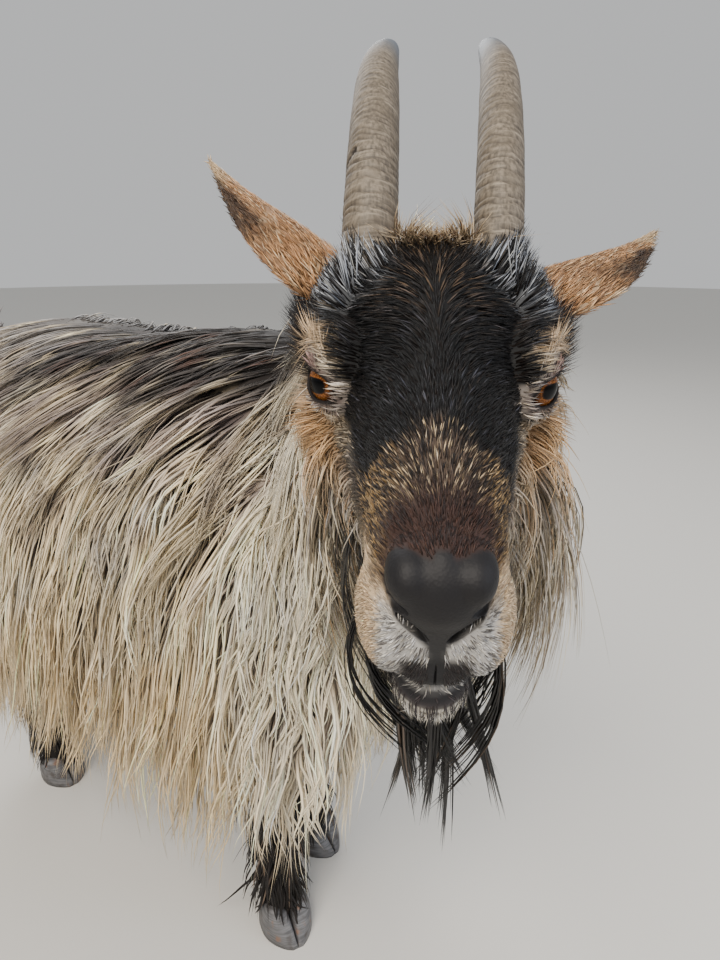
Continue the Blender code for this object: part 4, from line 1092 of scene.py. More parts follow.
def roots_on(part, density, count, rng):
    """Random places on a part of the skin, with normals, as dense as the function of place says."""
    mesh = flesh[part].data
    mesh.calc_loop_triangles()
    corners = np.empty(len(mesh.loop_triangles) * 3, np.int32)
    mesh.loop_triangles.foreach_get("vertices", corners)
    places = read(mesh, "vertices", "co", 3)[corners.reshape(-1, 3)]
    normals = read(mesh, "vertices", "normal", 3)[corners.reshape(-1, 3)]
    sizes = np.linalg.norm(np.cross(places[:, 1] - places[:, 0], places[:, 2] - places[:, 0]), axis=1)
    weights = sizes * density(places.mean(axis=1), unit(normals.mean(axis=1)))
    chosen = rng.choice(len(weights), count, p=weights / weights.sum())
    a, b = rng.random((2, count))
    flip = a + b > 1
    a, b = np.where(flip, 1 - a, a), np.where(flip, 1 - b, b)
    shares = np.stack([1 - a - b, a, b], axis=1)[:, :, None]
    return (places[chosen] * shares).sum(axis=1), unit((normals[chosen] * shares).sum(axis=1))


def thinned(places, normals, apart):
    """Drops each place that is nearer than this to one already kept."""
    kept = []
    cells = {}
    for i, place in enumerate(places):
        cell = tuple(np.floor(place / apart).astype(int))
        near = [
            k
            for dx in (-1, 0, 1)
            for dy in (-1, 0, 1)
            for dz in (-1, 0, 1)
            for k in cells.get((cell[0] + dx, cell[1] + dy, cell[2] + dz), ())
        ]
        if all(np.linalg.norm(places[k] - place) > apart for k in near):
            cells.setdefault(cell, []).append(i)
            kept.append(i)
    return places[kept], normals[kept]


def combed(parts, places, normals, lies, pulls, lengths, lifts, steps):
    """Paths from the skin along the lie that turn to the pull and stay lifted off every part."""
    trees = [grown_on[part] for part in parts]
    lies = unit(lies - normals * (lies * normals).sum(axis=1, keepdims=True))
    headings = unit(lies + normals * (0.25 + 12 * lifts)[:, None])
    step = (lengths / steps)[:, None]
    path = [places]
    current = places
    for k in range(steps):
        share = (k + 1) / steps
        headings = unit(headings * (1 - 0.5 * share) + pulls * (0.25 + 0.5 * share))
        current = current + headings * step
        wanted = lifts * (0.35 + 0.65 * share)
        lifted = current.copy()
        for i, point in enumerate(current):
            here = Vector(point)
            for tree in trees:
                near, facing, _, away = tree.find_nearest(here)
                height = away if (here - near).dot(facing) > 0 else -away
                if height < wanted[i]:
                    here = near + facing * wanted[i]
            lifted[i] = here
        current = lifted
        path.append(current)
    path = np.stack(path, axis=1)
    for _ in range(5):
        path[:, 1:-1] = (path[:, :-2] + 2 * path[:, 1:-1] + path[:, 2:]) / 4
    return path


def nearest_guide(places, guide_roots):
    """The number of the guide that starts nearest to each place."""
    found = []
    for start in range(0, len(places), 2000):
        chunk = places[start : start + 2000]
        away = ((chunk[:, None] - guide_roots[None]) ** 2).sum(axis=2)
        found.append(away.argmin(axis=1))
    return np.concatenate(found)


def tufts_along(guides, places, normals, rng, clump=0.75, wave=0.004, turns=2.2, lift=0.006, stray=0.004, draw=1.2):
    """Each tuft's path: its nearest guide's, drawn in towards the guide's tip, waved and strayed."""
    own = nearest_guide(places, guides[:, 0])
    steps = guides.shape[1] - 1
    shares = np.linspace(0, 1, steps + 1)[None, :, None]
    offsets = (places - guides[own, 0])[:, None]
    scale = rng.uniform(0.72, 1.08, (len(places), 1, 1))
    path = places[:, None] + (guides[own] - guides[own, :1]) * scale
    path = path - offsets * clump * shares**draw
    across = unit(np.cross(guides[own, -1] - guides[own, 0], normals))[:, None]
    lock_phase = (12 * mottle(guides[:, 0], 0.07, 21) + rng.uniform(0, 1.5, len(guides)))[own]
    lock_wave = rng.uniform(0.5, 1.3, len(guides))[own] * (1 - 0.85 * ramp(normals[:, 2], 0.55, 0.85))
    phase = (lock_phase + rng.normal(0, 0.35, len(places)))[:, None, None]
    swing = np.sin(phase + shares * turns * 2 * np.pi) - np.sin(phase)
    path = path + across * swing * (wave * lock_wave)[:, None, None] * shares**0.6
    path = path + normals[:, None] * (rng.uniform(0, lift, len(places))[:, None, None] * np.sin(shares * np.pi * 0.7))
    wisp = np.where(rng.random((len(places), 1, 1)) < 0.12, 2.6, 0.8)
    path = path + rng.normal(0, stray, (len(places), 1, 3)) * shares**2 * wisp
    path[:, 1:-1] = (path[:, :-2] + 2 * path[:, 1:-1] + path[:, 2:]) / 4
    return path, own


BLADE_THICKNESS = 0.30
SPOT_SIZE = 0.003


def hair_piece(name, path, normals, widths, colours, spots, material, slot_name):
    """One mesh of three-sided tapered blades along the paths, closed at the root and the tip.

    Each blade is a small patch at its spot on the map for baking. A second map, in turns round
    the blade and metres along it, carries the fine streaks of its single hairs."""
    count, rings = path.shape[0], path.shape[1] - 1
    ahead = unit(np.gradient(path, axis=1))
    whole = unit(path[:, -1] - path[:, 0])
    facing = unit(normals - whole * (normals * whole).sum(axis=1, keepdims=True))
    across = unit(np.cross(ahead, facing[:, None]))
    out = np.cross(across, ahead)
    shares = np.linspace(0, 1, rings + 1)[:rings]
    half = widths[:, None] / 2 * np.interp(shares, (0, 0.12, 0.55, 1), (0.7, 1, 0.85, 0.12))
    high = half * 2 * BLADE_THICKNESS
    corners = []
    for a, b in ((1, -0.3), (0, 0.7), (-1, -0.3)):
        sideways, upwards = across[:, :rings] * (a * half)[..., None], out[:, :rings] * (b * high)[..., None]
        corners.append(path[:, :rings] + sideways + upwards)
    verts = np.concatenate([np.stack(corners, axis=2).reshape(count, rings * 3, 3), path[:, rings:]], axis=1)
    shade = np.concatenate([np.repeat(colours[:, :rings], 3, axis=1), colours[:, rings:]], axis=1)

    loops, sizes, marks = [], [], []
    for k in range(rings - 1):
        for j in range(3):
            n = (j + 1) % 3
            loops += [3 * k + j, 3 * k + n, 3 * k + 3 + n, 3 * k + 3 + j]
            marks += [(j, k), (j + 1, k), (j + 1, k + 1), (j, k + 1)]
            sizes.append(4)
    for j in range(3):
        loops += [3 * (rings - 1) + j, 3 * (rings - 1) + (j + 1) % 3, 3 * rings]
        marks += [(j, rings - 1), (j + 1, rings - 1), (j + 0.5, rings)]
        sizes.append(3)
    loops += [2, 1, 0]
    marks += [(2, 0), (1, 0), (0, 0)]
    sizes.append(3)
    per_tuft = 3 * rings + 1
    starts = np.cumsum([0] + sizes[:-1])
    all_loops = (np.array(loops)[None] + per_tuft * np.arange(count)[:, None]).ravel()
    all_starts = (starts[None] + len(loops) * np.arange(count)[:, None]).ravel()
    patch = (np.array(marks, float) / (3, rings) - 0.5) * SPOT_SIZE
    uvs = (spots[:, None] + patch[None]).reshape(-1, 2)
    run = np.linalg.norm(np.diff(path, axis=1), axis=2).sum(axis=1)
    strands = np.array(marks, float)[None] / (3, rings) * np.stack([np.full(count, 1.0), run], axis=1)[:, None]
    strands = (strands + np.stack([np.arange(count) * 7.0, np.arange(count) % 97], axis=1)[:, None]).reshape(-1, 2)

    mesh = bpy.data.meshes.new(name)
    mesh.vertices.add(count * per_tuft)
    mesh.vertices.foreach_set("co", verts.astype(np.float32).ravel())
    mesh.loops.add(len(all_loops))
    mesh.loops.foreach_set("vertex_index", all_loops.astype(np.int32))
    mesh.polygons.add(len(all_starts))
    mesh.polygons.foreach_set("loop_start", all_starts.astype(np.int32))
    mesh.update(calc_edges=True)
    mesh.uv_layers.new(name="OFBake").data.foreach_set("uv", uvs.astype(np.float32).ravel())
    mesh.uv_layers.new(name="strands").data.foreach_set("uv", strands.astype(np.float32).ravel())
    layer = mesh.color_attributes.new("markings", "FLOAT_COLOR", "POINT")
    shade = np.concatenate([shade.reshape(-1, 3), np.ones((count * per_tuft, 1))], axis=1)
    layer.data.foreach_set("color", shade.clip(0, 1).astype(np.float32).ravel())
    mesh.shade_smooth()
    mesh.materials.append(material)
    piece = bpy.data.objects.new(name, mesh)
    bpy.context.scene.collection.objects.link(piece)
    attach(piece, "root")


def shaded(tips, roots, steps, rng, dark_to=0.35, spread=0.16, hue=0.05):
    """Colours along each tuft, from its root's to its tip's, with every tuft a little its own."""
    shares = np.linspace(0, 1, steps + 1)[None, :, None]
    turn = ramp(shares, 0.02, 0.02 + dark_to)
    tips = tips[:, None] if tips.ndim == 2 else tips
    roots = roots[:, None] if roots.ndim == 2 else roots
    colours = roots * (1 - turn) + tips * turn
    tone = np.exp(rng.normal(0, spread, (len(tips), 1, 1)))
    tint = 1 + rng.normal(0, hue, (len(tips), 1, 1)) * np.array([0.4, 0, -1.0])
    return colours * tone * tint


def round_axis(p, start, end, up=(0, 0, 1)):
    """Where points lie on an unwrap about an axis: the share along it and the share of a turn."""
    start, end = np.array(start), np.array(end)
    along = (end - start) / np.linalg.norm(end - start)
    side = np.cross(np.array(up), along)
    side = side / np.linalg.norm(side)
    rise = np.cross(along, side)
    rel = p - start
    share = (rel @ along) / np.linalg.norm(end - start)
    swing = np.arctan2(rel @ side, rel @ -rise) / (2 * np.pi) + 0.5
    return np.column_stack([0.02 + 0.96 * np.clip(share, 0, 1), 0.02 + 0.96 * swing])


def hair_finish(name, roughness, sheen, specular, hairs, contrast):
    """A hair's finish: its own markings, with as many fine hairs round a blade as it says."""
    made, tree, shader = finish(
        name, IOR=1.55, Roughness=roughness, Specular_IOR_Level=specular, Sheen_Weight=sheen, Sheen_Roughness=0.4
    )
    colour = node(tree, "ShaderNodeVertexColor", {"layer_name": "markings"})
    place = node(tree, "ShaderNodeUVMap", {"uv_map": "strands"})
    run = node(tree, "ShaderNodeMapping", {"Scale": (hairs, 26.0, 1.0), "Vector": place.outputs["UV"]})
    streaks = node(tree, "ShaderNodeTexNoise", {"Scale": 1.0, "Detail": 2.0, "Vector": run.outputs["Vector"]})
    tones = {"From Min": 0.3, "From Max": 0.7, "To Min": 1 - contrast, "To Max": 1 + 0.7 * contrast}
    bright = node(tree, "ShaderNodeMapRange", tones | {"Value": streaks.outputs["Fac"]})
    scaled = {"operation": "SCALE", 0: colour.outputs["Color"], "Scale": bright.outputs["Result"]}
    streaked = node(tree, "ShaderNodeVectorMath", scaled)
    tree.links.new(streaked.outputs["Vector"], shader.inputs["Base Color"])
    bump = node(tree, "ShaderNodeBump", {"Strength": 0.6, "Distance": 0.0003, "Height": streaks.outputs["Fac"]})
    tree.links.new(bump.outputs["Normal"], shader.inputs["Normal"])
    return made


# The long coat is clean and smooth with a soft sheen. The short hair is dull and close. The beard is damp, so its
# highlights are sharper.
long_hair = hair_finish("long_silky_coat", 0.50, 0.15, 0.40, 18.0, 0.42)
short_hair = hair_finish("short_guard_hair", 0.50, 0.0, 0.22, 6.0, 0.25)
beard_hair = hair_finish("beard_hair_damp", 0.32, 0.0, 0.50, 14.0, 0.30)


# The long coat of the trunk: wavy cream locks 8 to 17 cm long that part along the spine, lie down
# over the sides and hang in a fringe below the belly. It is in four pieces, one to each quarter.

LONG_STEPS = 8
TRUNK_SPLIT = -0.165


def along_neck(x, y, z):
    """How far places in the stance lie up the neck, from the line where the trunk's coat meets the ruff."""
    return (x - 0.085) * 0.5 + (z - 0.47) * 0.7 - (y + 0.02) * 0.3


def trunk_share(places, normals):
    """1 on the trunk, 0 on the legs, the upper neck and the tail."""
    x, y, z = in_stance(places).T
    return ramp(z, 0.205, 0.225) * ramp(along_neck(x, y, z), 0.012, -0.004) * ramp(x, -0.455, -0.440)


def comb_trunk(places, normals, rng):
    """Lie, pull, length and lift of the trunk's guides."""
    x, y, z = in_stance(places).T
    side = np.where(y >= 0, 1.0, -1.0)
    top = ramp(normals[:, 2], 0.45, 0.85)[:, None]
    under = ramp(normals[:, 2], -0.35, -0.75)
    front = ramp(x, 0.070, 0.095)[:, None]
    rear = ramp(x, -0.405, -0.430)[:, None]
    back = ramp(z, 0.38, 0.47)
    flank = directions(-0.35 - 0.75 * back, 0.15 * side, -1.0 + 0.45 * back)
    crest = directions(-0.75, 0.75 * side, -0.25)
    lies = flank * (1 - top) + crest * top
    lies = lies * (1 - front) + directions(0.2, y * 2, -1.0) * front
    lies = lies * (1 - rear) + directions(-0.2, y * 2, -1.0) * rear
    lies = lies + rng.normal(0, 0.13, lies.shape)
    sway = 0.20 * (mottle(places, 0.07, 11) - 0.5)
    pulls = directions(-0.12 + sway + rng.normal(0, 0.10, len(x)), 0.05 * side, -1.0)
    pulls = unit(pulls * (1 - top) + (crest * np.array([1, 1, 0]) + np.array([0, 0, -0.8])) * top)
    lengths = np.interp(z, (0.20, 0.28, 0.40, 0.50, 0.53), (0.135, 0.160, 0.165, 0.140, 0.110))
    lengths = lengths * (1 - 0.55 * under) * (1 - 0.36 * ramp(x, 0.000, 0.080)) * rng.uniform(0.78, 1.08, len(x))
    lifts = rng.uniform(0.005, 0.023, len(x)) * (1 - 0.45 * top[:, 0])
    return lies, pulls, lengths, lifts


rng = np.random.default_rng(2027)
guide_roots, guide_normals = thinned(*roots_on("body", trunk_share, 9000, rng), 0.017)
lies, pulls, lengths, lifts = comb_trunk(guide_roots, guide_normals, rng)
trunk_guides = combed(["body"], guide_roots, guide_normals, lies, pulls, lengths, lifts, LONG_STEPS)


def trunk_density(places, normals):
    """Thinner underneath and inside the legs, where little shows."""
    return trunk_share(places, normals) * np.interp(normals[:, 2], (-0.8, -0.2, 0.3), (0.25, 0.8, 1.0))


def coat_colours(path, own, locks, rng, dark_to):
    """Colours that change along each tuft with where it lies, and a little from lock to lock."""
    shown = path.copy()
    shown[..., 2] = np.maximum(shown[..., 2], 0.26)
    tips, roots = body_markings(shown.reshape(-1, 3))
    tips, roots = tips.reshape(path.shape), roots.reshape(path.shape)
    lock_tone = np.exp(rng.normal(0, 0.17, locks))[own][:, None, None]
    return shaded(tips * lock_tone, roots[:, :1], path.shape[1] - 1, rng, dark_to)


trunk_count = 12600
tuft_roots, tuft_normals = roots_on("body", trunk_density, trunk_count, rng)
tuft_paths, own = tufts_along(trunk_guides, tuft_roots, tuft_normals, rng, clump=0.78, wave=0.0070, turns=1.35)
colours = coat_colours(tuft_paths, own, len(trunk_guides), rng, 0.42)
widths = 0.0011 + 0.0020 * rng.random(trunk_count) ** 1.5
p = in_stance(tuft_roots)
spots = round_axis(p, (RUMP_X, 0, 0.35), (BREAST_X, 0, 0.35))
right, fore = p[:, 1] < 0, p[:, 0] > TRUNK_SPLIT
for name, those in (
    ("trunk_coat_right_fore", right & fore),
    ("trunk_coat_right_hind", right & ~fore),
    ("trunk_coat_left_fore", ~right & fore),
    ("trunk_coat_left_hind", ~right & ~fore),
):
    tufts = (tuft_paths[those], tuft_normals[those], widths[those], colours[those], spots[those])
    hair_piece(name, *tufts, long_hair, "coat")


# The ruff: long cream hair down the throat, the breast and both sides of the neck, and a shorter
# mane on the nape. It flows back from the head and falls over the shoulders.


def neck_share(places, normals):
    x, y, z = in_stance(places).T
    return ramp(along_neck(x, y, z), -0.034, -0.016) * ramp(x, 0.02, 0.04)


guide_roots, guide_normals = thinned(*roots_on("body", neck_share, 3000, rng), 0.014)
x, y, z = in_stance(guide_roots).T
out = guide_normals * np.array([1, 1, 0])
top = ramp(guide_normals[:, 2], 0.3, 0.8)[:, None]
lies = np.array([-0.25, 0, -1]) + out * 0.2
lies = lies * (1 - top) + (np.array([-0.9, 0.1, -0.2]) + out * 0.5) * top + rng.normal(0, 0.12, lies.shape)
pulls = unit(np.array([-0.05, 0, -1]) + out * 0.12 + rng.normal(0, 0.10, lies.shape))
lengths = (0.130 - 0.045 * top[:, 0]) * rng.uniform(0.8, 1.1, len(x))
lifts = rng.uniform(0.004, 0.018, len(x))
ruff_guides = combed(["body", "head"], guide_roots, guide_normals, lies, pulls, lengths, lifts, LONG_STEPS)
ruff_count = 3600
tuft_roots, tuft_normals = roots_on("body", neck_share, ruff_count, rng)
tuft_paths, own = tufts_along(ruff_guides, tuft_roots, tuft_normals, rng, clump=0.78, wave=0.0060, turns=1.4)
colours = coat_colours(tuft_paths, own, len(ruff_guides), rng, 0.30)
widths = 0.0009 + 0.0015 * rng.random(ruff_count) ** 1.5
spots = round_axis(in_stance(tuft_roots), (-0.05, 0, 0.38), (0.13, -0.064, 0.53))
hair_piece("ruff", tuft_paths, tuft_normals, widths, colours, spots, long_hair, "coat")


# The whiskers and the jaw hair: long grizzled hair, black, cream and gold, that stands out from
# the rear of both cheeks and under the jaw, then falls past them.

HEAD_AXIS = ((-0.12, 0, -0.02), (0.13, 0, -0.02))


def below_start(x, z):
    """How far places lie below the line along the cheek where the long hair starts."""
    return np.interp(x, (-0.080, -0.060, -0.035, 0.000, 0.035), (-0.012, -0.012, -0.020, -0.024, -0.034)) - z


def whisker_share(places, normals):
    x, y, z = in_head(places).T
    behind = ramp(x, 0.052, 0.030) * ramp(x, -0.092, -0.080)
    return behind * ramp(below_start(x, z), -0.005, 0.005) * ramp(np.abs(y), 0.010, 0.022)


turned = np.array(head_frame.to_3x3())
guide_roots, guide_normals = thinned(*roots_on("head", whisker_share, 3000, rng), 0.009)
x, y, z = in_head(guide_roots).T
side = np.where(y >= 0, 1.0, -1.0)
outward = np.outer(side, turned @ np.array([0, 1, 0]))
low = ramp(z, -0.030, -0.060)[:, None]
lies = directions(-0.35, 0.75 * side, -0.8) @ turned.T
lies = lies + outward * 0.5 * low + rng.normal(0, 0.12, lies.shape)
far = np.where(side > 0, 1.0, 0.0)
pulls = unit(np.array([0, 0, -1.0]) + outward * (0.22 * far - 0.08)[:, None] + rng.normal(0, 0.07, lies.shape))
lengths = np.interp(x, (-0.08, -0.05, 0.0, 0.02, 0.045), (0.125, 0.135, 0.135, 0.110, 0.080))
lengths = lengths * np.where(side > 0, 1.10, 1.00) * rng.uniform(0.70, 1.10, len(x))
grown_long = np.interp(below_start(x, z), (0.0, 0.010, 0.026), (0.16, 0.36, 1.0))
lengths = lengths * grown_long
lifts = rng.uniform(0.008, 0.031, len(x)) * np.interp(x, (-0.02, 0.03), (1, 0.5))
lifts = lifts * (1 + 0.85 * far) * (0.55 + 0.45 * grown_long)
cheek_guides = combed(["head"], guide_roots, guide_normals, lies, pulls, lengths, lifts, LONG_STEPS)
inward = np.linspace(0, 1, LONG_STEPS + 1)[None, :, None] ** 2.2
curled_in = inward * outward[:, None] * rng.uniform(0.012, 0.040, (len(x), 1, 1)) * grown_long[:, None, None]
cheek_guides = cheek_guides - curled_in
cheek_count = 3600
tuft_roots, tuft_normals = roots_on("head", whisker_share, cheek_count, rng)
tuft_paths, _ = tufts_along(
    cheek_guides, tuft_roots, tuft_normals, rng, clump=0.72, wave=0.0026, turns=1.3, stray=0.003
)
tips, roots = face_markings(tuft_roots)
p = in_head(tuft_roots)
kind = rng.random(cheek_count)
front = ramp(p[:, 0], -0.030, 0.010)
deep = ramp(p[:, 2], -0.026, -0.040)
tips = laid_over(tips, "ACABAC", 0.80 * deep)
tips = laid_over(tips, "1C1816", (kind < 0.14 + 0.36 * front).astype(float) * 0.92 * deep)
tips = laid_over(tips, "E2D8C0", (kind > 0.60 + 0.20 * front).astype(float) * 0.85 * deep)
tips = laid_over(tips, "B0824C", ((kind > 0.50) & (kind < 0.58)).astype(float) * 0.7 * deep)
low_tips = laid_over(tips, "C9AE78", np.full(cheek_count, 0.35))
shares = np.linspace(0, 1, LONG_STEPS + 1)[None, :, None]
colours = shaded(tips[:, None] * (1 - shares) + low_tips[:, None] * shares, roots, LONG_STEPS, rng, dark_to=0.4)
widths = rng.uniform(0.0008, 0.0017, cheek_count)
spots = round_axis(p, *HEAD_AXIS)
hair_piece("whiskers", tuft_paths, tuft_normals, widths, colours, spots, long_hair, "face coat")


# The beard: coarse black hair under the chin and jaw, drawn by damp into thin locks that taper to
# points and curl in below the chin.

BEARD_STEPS = 10


def beard_share(places, normals):
    x, y, z = in_head(places).T
    parted = 1 - 0.35 * np.exp(-((y / 0.007) ** 2)) * ramp(x, 0.080, 0.065)
    under = ramp(z, -0.040, -0.048) * ramp(normals[:, 2], 0.50, 0.15)
    return parted * ramp(x, -0.004, 0.014) * ramp(x, 0.094, 0.082) * under


guide_roots, guide_normals = thinned(*roots_on("head", beard_share, 1200, rng), 0.0085)
x, y, z = in_head(guide_roots).T
lies = directions(0.10, y * 8, -1.0) @ turned.T
lies = lies + rng.normal(0, 0.10, lies.shape)
sideways = turned @ np.array([0, 1, 0])
pulls = unit(np.array([0, 0, -1.0]) + rng.normal(0, 0.07, lies.shape))
lengths = np.interp(x, (0.00, 0.03, 0.06, 0.09), (0.138, 0.130, 0.115, 0.080)) * rng.uniform(0.80, 1.06, len(x))
lifts = rng.uniform(0.002, 0.008, len(x))
beard_guides = combed(["head"], guide_roots, guide_normals, lies, pulls, lengths, lifts, BEARD_STEPS)
# The locks on both sides curl in at their tips, below the middle of the chin.
curl = np.linspace(0, 1, BEARD_STEPS + 1)[None, :, None]
bow = 0.50 * np.sin(np.pi * curl) - 1.00 * curl**3.0
beard_guides = beard_guides + bow * (y[:, None] * sideways)[:, None] + 0.007 * curl**2 * sideways
beard_count = 1300
tuft_roots, tuft_normals = roots_on("head", beard_share, beard_count, rng)
tuft_paths, _ = tufts_along(
    beard_guides, tuft_roots, tuft_normals, rng, clump=0.97, wave=0.0012, turns=0.6, lift=0.001, stray=0.0010, draw=0.45
)
tips = np.tile(linear("0F0D0D"), (beard_count, 1))
tips = laid_over(tips, "4A3D31", (rng.random(beard_count) < 0.04).astype(float))
colours = shaded(tips, tips * 0.8, BEARD_STEPS, rng)
widths = rng.uniform(0.0010, 0.0018, beard_count)
spots = round_axis(in_head(tuft_roots), *HEAD_AXIS)
hair_piece("beard", tuft_paths, tuft_normals, widths, colours, spots, beard_hair, "face coat")


# The face: short close hair, about 5 mm on the lips and 12 mm on the brow, longer on the cheeks and
# before the horns. It fans up the bridge and out over the brow. Nose and lid rims are bare.

SHORT_STEPS = 2
HORN_MIDDLE = (-0.066, 0.0305)


def from_horns(x, y):
    """How far places on the head are from the middle of the nearer horn's base."""
    return np.minimum(*(np.hypot(x - HORN_MIDDLE[0], y - side * HORN_MIDDLE[1]) for side in (-1, 1)))


def face_share(places, normals):
    p = in_head(places)
    x, y, z = p.T
    lids = ramp(lid_reach(p), 1.14, 1.30)
    dense = np.interp(x, (-0.09, -0.05, 0.04, 0.09), (0.5, 0.95, 1.3, 3.0)) * np.interp(z, (-0.06, -0.03), (0.6, 1))
    return (1 - nose_share(places)) * lids * ramp(from_horns(x, y), 0.012, 0.014) * dense * ramp(x, -0.100, -0.085)


def face_lie(p):
    """Which way the short hair grows at places in the head's frame."""
    x, y, z = p.T
    side = np.clip(y / 0.012, -1, 1)
    s = np.abs(y)
    bridge = directions(-1.0, side * (0.25 + 18 * s), 0.0)
    brow = directions(-0.35 - 0.2 * (s < 0.01), 1.3 * side, 0.1)
    top = directions(-0.9, 0.9 * side, 0.5)
    cheek = directions(-0.75, 0.2 * side, -0.8)
    lip = directions(-0.35, 0.7 * side, -0.7)
    chin = directions(0.35, 0.2 * side, -1.0)
    lies = unit(bridge)
    for other, share in (
        (brow, ramp(x, 0.045, 0.015)),
        (top, ramp(x, -0.018, -0.036)),
        (cheek, ramp(z, -0.006, -0.022) * ramp(x, 0.095, 0.075)),
        (lip, ramp(x, 0.095, 0.110) * ramp(z, -0.018, -0.028)),
        (chin, ramp(x, 0.080, 0.092) * ramp(z, MOUTH_Z, MOUTH_Z - 0.004)),
    ):
        lies = lies + (unit(other) - lies) * share[:, None]
    for which in (-1, 1):
        away = p - np.array(eye_centre(which))
        near = ramp(np.linalg.norm(away, axis=1), 0.021, 0.015)[:, None]
        lies = lies + (unit(away + 0.6 * np.array([-0.012, 0, 0])) - lies) * near
    return unit(lies)


def laid_hair(places, normals, lies, lengths, stand):
    """Paths of short hairs that lie along the skin and lift a little off it."""
    lies = unit(lies - normals * (lies * normals).sum(axis=1, keepdims=True))
    shares = np.linspace(0, 1, SHORT_STEPS + 1)
    bend = stand[:, None] * shares * (1.3 - 0.5 * shares)
    along = (lies * lengths[:, None])[:, None] * shares[None, :, None]
    return places[:, None] + along + normals[:, None] * (bend * lengths[:, None])[..., None]


face_count = 29000
tuft_roots, tuft_normals = roots_on("head", face_share, face_count, rng)
p = in_head(tuft_roots)
x, y, z = p.T
s = np.abs(y)
crown = ramp(x, -0.042, -0.054) * ramp(s, 0.024, 0.016)
chin = ramp(x, 0.085, 0.098) * ramp(z, MOUTH_Z - 0.002, MOUTH_Z - 0.006)
poll = ramp(x, -0.024, -0.044) * ramp(z, 0.016, 0.026)
temples = ramp(s, 0.036, 0.044) * ramp(x, 0.012, -0.006) * ramp(x, -0.080, -0.060)
temples = temples * ramp(z, -0.030, -0.015) * ramp(z, 0.026, 0.012)
muzzle_side = ramp(x, 0.036, 0.048) * ramp(x, 0.090, 0.078) * ramp(s, 0.022, 0.029) * ramp(z, -0.040, -0.024)
before_horns = ramp(x, -0.020, -0.034) * ramp(x, -0.068, -0.060) * np.exp(-(((s - 0.0285) / 0.012) ** 2))
lies = face_lie(p) + rng.normal(0, 0.13, p.shape) * (1 + 0.7 * poll)[:, None]
lies = lies + 3.0 * before_horns[:, None] * directions(-1.0, 0.05 * np.sign(y), 0.0)
lies = lies * (1 - crown[:, None]) + (np.array([0.2, 0, 0.9]) + rng.normal(0, 0.18, p.shape)) * crown[:, None]
lengths = np.interp(x, (-0.06, -0.01, 0.04, 0.08, 0.115), (0.0150, 0.0120, 0.0095, 0.0064, 0.0046))
lengths = lengths * np.interp(lid_reach(p), (1.2, 1.8, 2.8), (0.36, 0.78, 1.0)) * rng.uniform(0.7, 1.2, len(x))
cheek = ramp(x, 0.036, 0.010) * ramp(z, -0.010, -0.024)
crest = crown * (0.0005 + 0.0065 * ramp(s, 0.004, 0.016))
lengths = lengths + crest + 0.0040 * chin + 0.010 * cheek + 0.001 * poll * (1 - crown) + 0.009 * before_horns
lengths = lengths + (0.007 * temples + 0.003 * muzzle_side) * ramp(lid_reach(p), 1.8, 2.8)
lengths = lengths * (1 - 0.28 * ramp(x, 0.104, 0.114) * ramp(z, -0.012, -0.020) * (1 - chin))
outer = ramp(s, 0.036, 0.044) * ramp(z, 0.012, 0.026) * ramp(x, -0.018, -0.030)
lengths = (lengths + 0.006 * ramp(from_horns(x, y), 0.030, 0.017) * before_horns) * (1 - 0.30 * outer)
stand = np.interp(x, (-0.06, 0.06, 0.12), (0.20, 0.16, 0.20)) + 0.4 * crown + 0.05 * poll + 0.34 * cheek
stand = stand + 0.68 * before_horns + 0.20 * ramp(lid_reach(p), 3.2, 2.2) + 0.38 * temples + 0.25 * muzzle_side
stand = stand + rng.uniform(-0.05, 0.07, len(x))
tuft_paths = laid_hair(tuft_roots, tuft_normals, lies @ turned.T, lengths, stand)
tips, roots = face_markings(tuft_roots)
colours = shaded(tips, roots, SHORT_STEPS, rng, dark_to=0.6, spread=0.20)
widths = rng.uniform(0.0005, 0.0010, face_count) * np.interp(x, (-0.04, 0.0, 0.1), (0.80, 1.1, 0.62))
spots = round_axis(p, *HEAD_AXIS)
for name, those in (("brow_hair", x < 0.035), ("muzzle_hair", x >= 0.035)):
    tufts = (tuft_paths[those], tuft_normals[those], widths[those], colours[those], spots[those])
    hair_piece(name, *tufts, short_hair, "face coat")


# The ears' hair: close over both faces, about 10 mm long near the head and 5 mm at the tip, where
# it is palest. It lies along the ear towards the tip.

for name, side in SIDES.items():
    count = 4500
    ear_root, ear_tip = Vector(EAR_ROOTS[name]), Vector(EAR_TIPS[name])
    tuft_roots, tuft_normals = roots_on("ear_" + name, lambda places, normals: np.ones(len(places)), count, rng)
    p = in_head(tuft_roots)
    axis = np.array((ear_tip - ear_root).normalized())
    share = ((p - np.array(ear_root)) @ axis) / (ear_tip - ear_root).length
    lies = (axis + rng.normal(0, 0.20, (count, 3))) @ turned.T
    lengths = np.interp(share, (0, 0.3, 1), (0.010, 0.0065, 0.0050)) * rng.uniform(0.7, 1.3, count)
    stand = rng.uniform(0.05, 0.22, count)
    tuft_paths = laid_hair(tuft_roots, tuft_normals, lies, lengths, stand)
    tips, roots = ear_markings(tuft_roots)
    colours = shaded(tips, roots, SHORT_STEPS, rng, dark_to=0.6, spread=0.20)
    widths = rng.uniform(0.0006, 0.0010, count)
    spots = round_axis(p, ear_root, ear_tip, up=(1, 0, 0))
    hair_piece(f"ear_hair_{name}", tuft_paths, tuft_normals, widths, colours, spots, short_hair, "ear coat")


# The legs' hair: shaggy and black, one or two centimetres long where it hangs over the tops of the
# claws, and four to seven above the fetlocks.

LEG_STEPS = 6


def leg_share(places, normals):
    z = in_stance(places)[:, 2]
    return ramp(z, 0.245, 0.215) * np.interp(z, (0.02, 0.10, 0.24), (1.4, 1.2, 0.6))


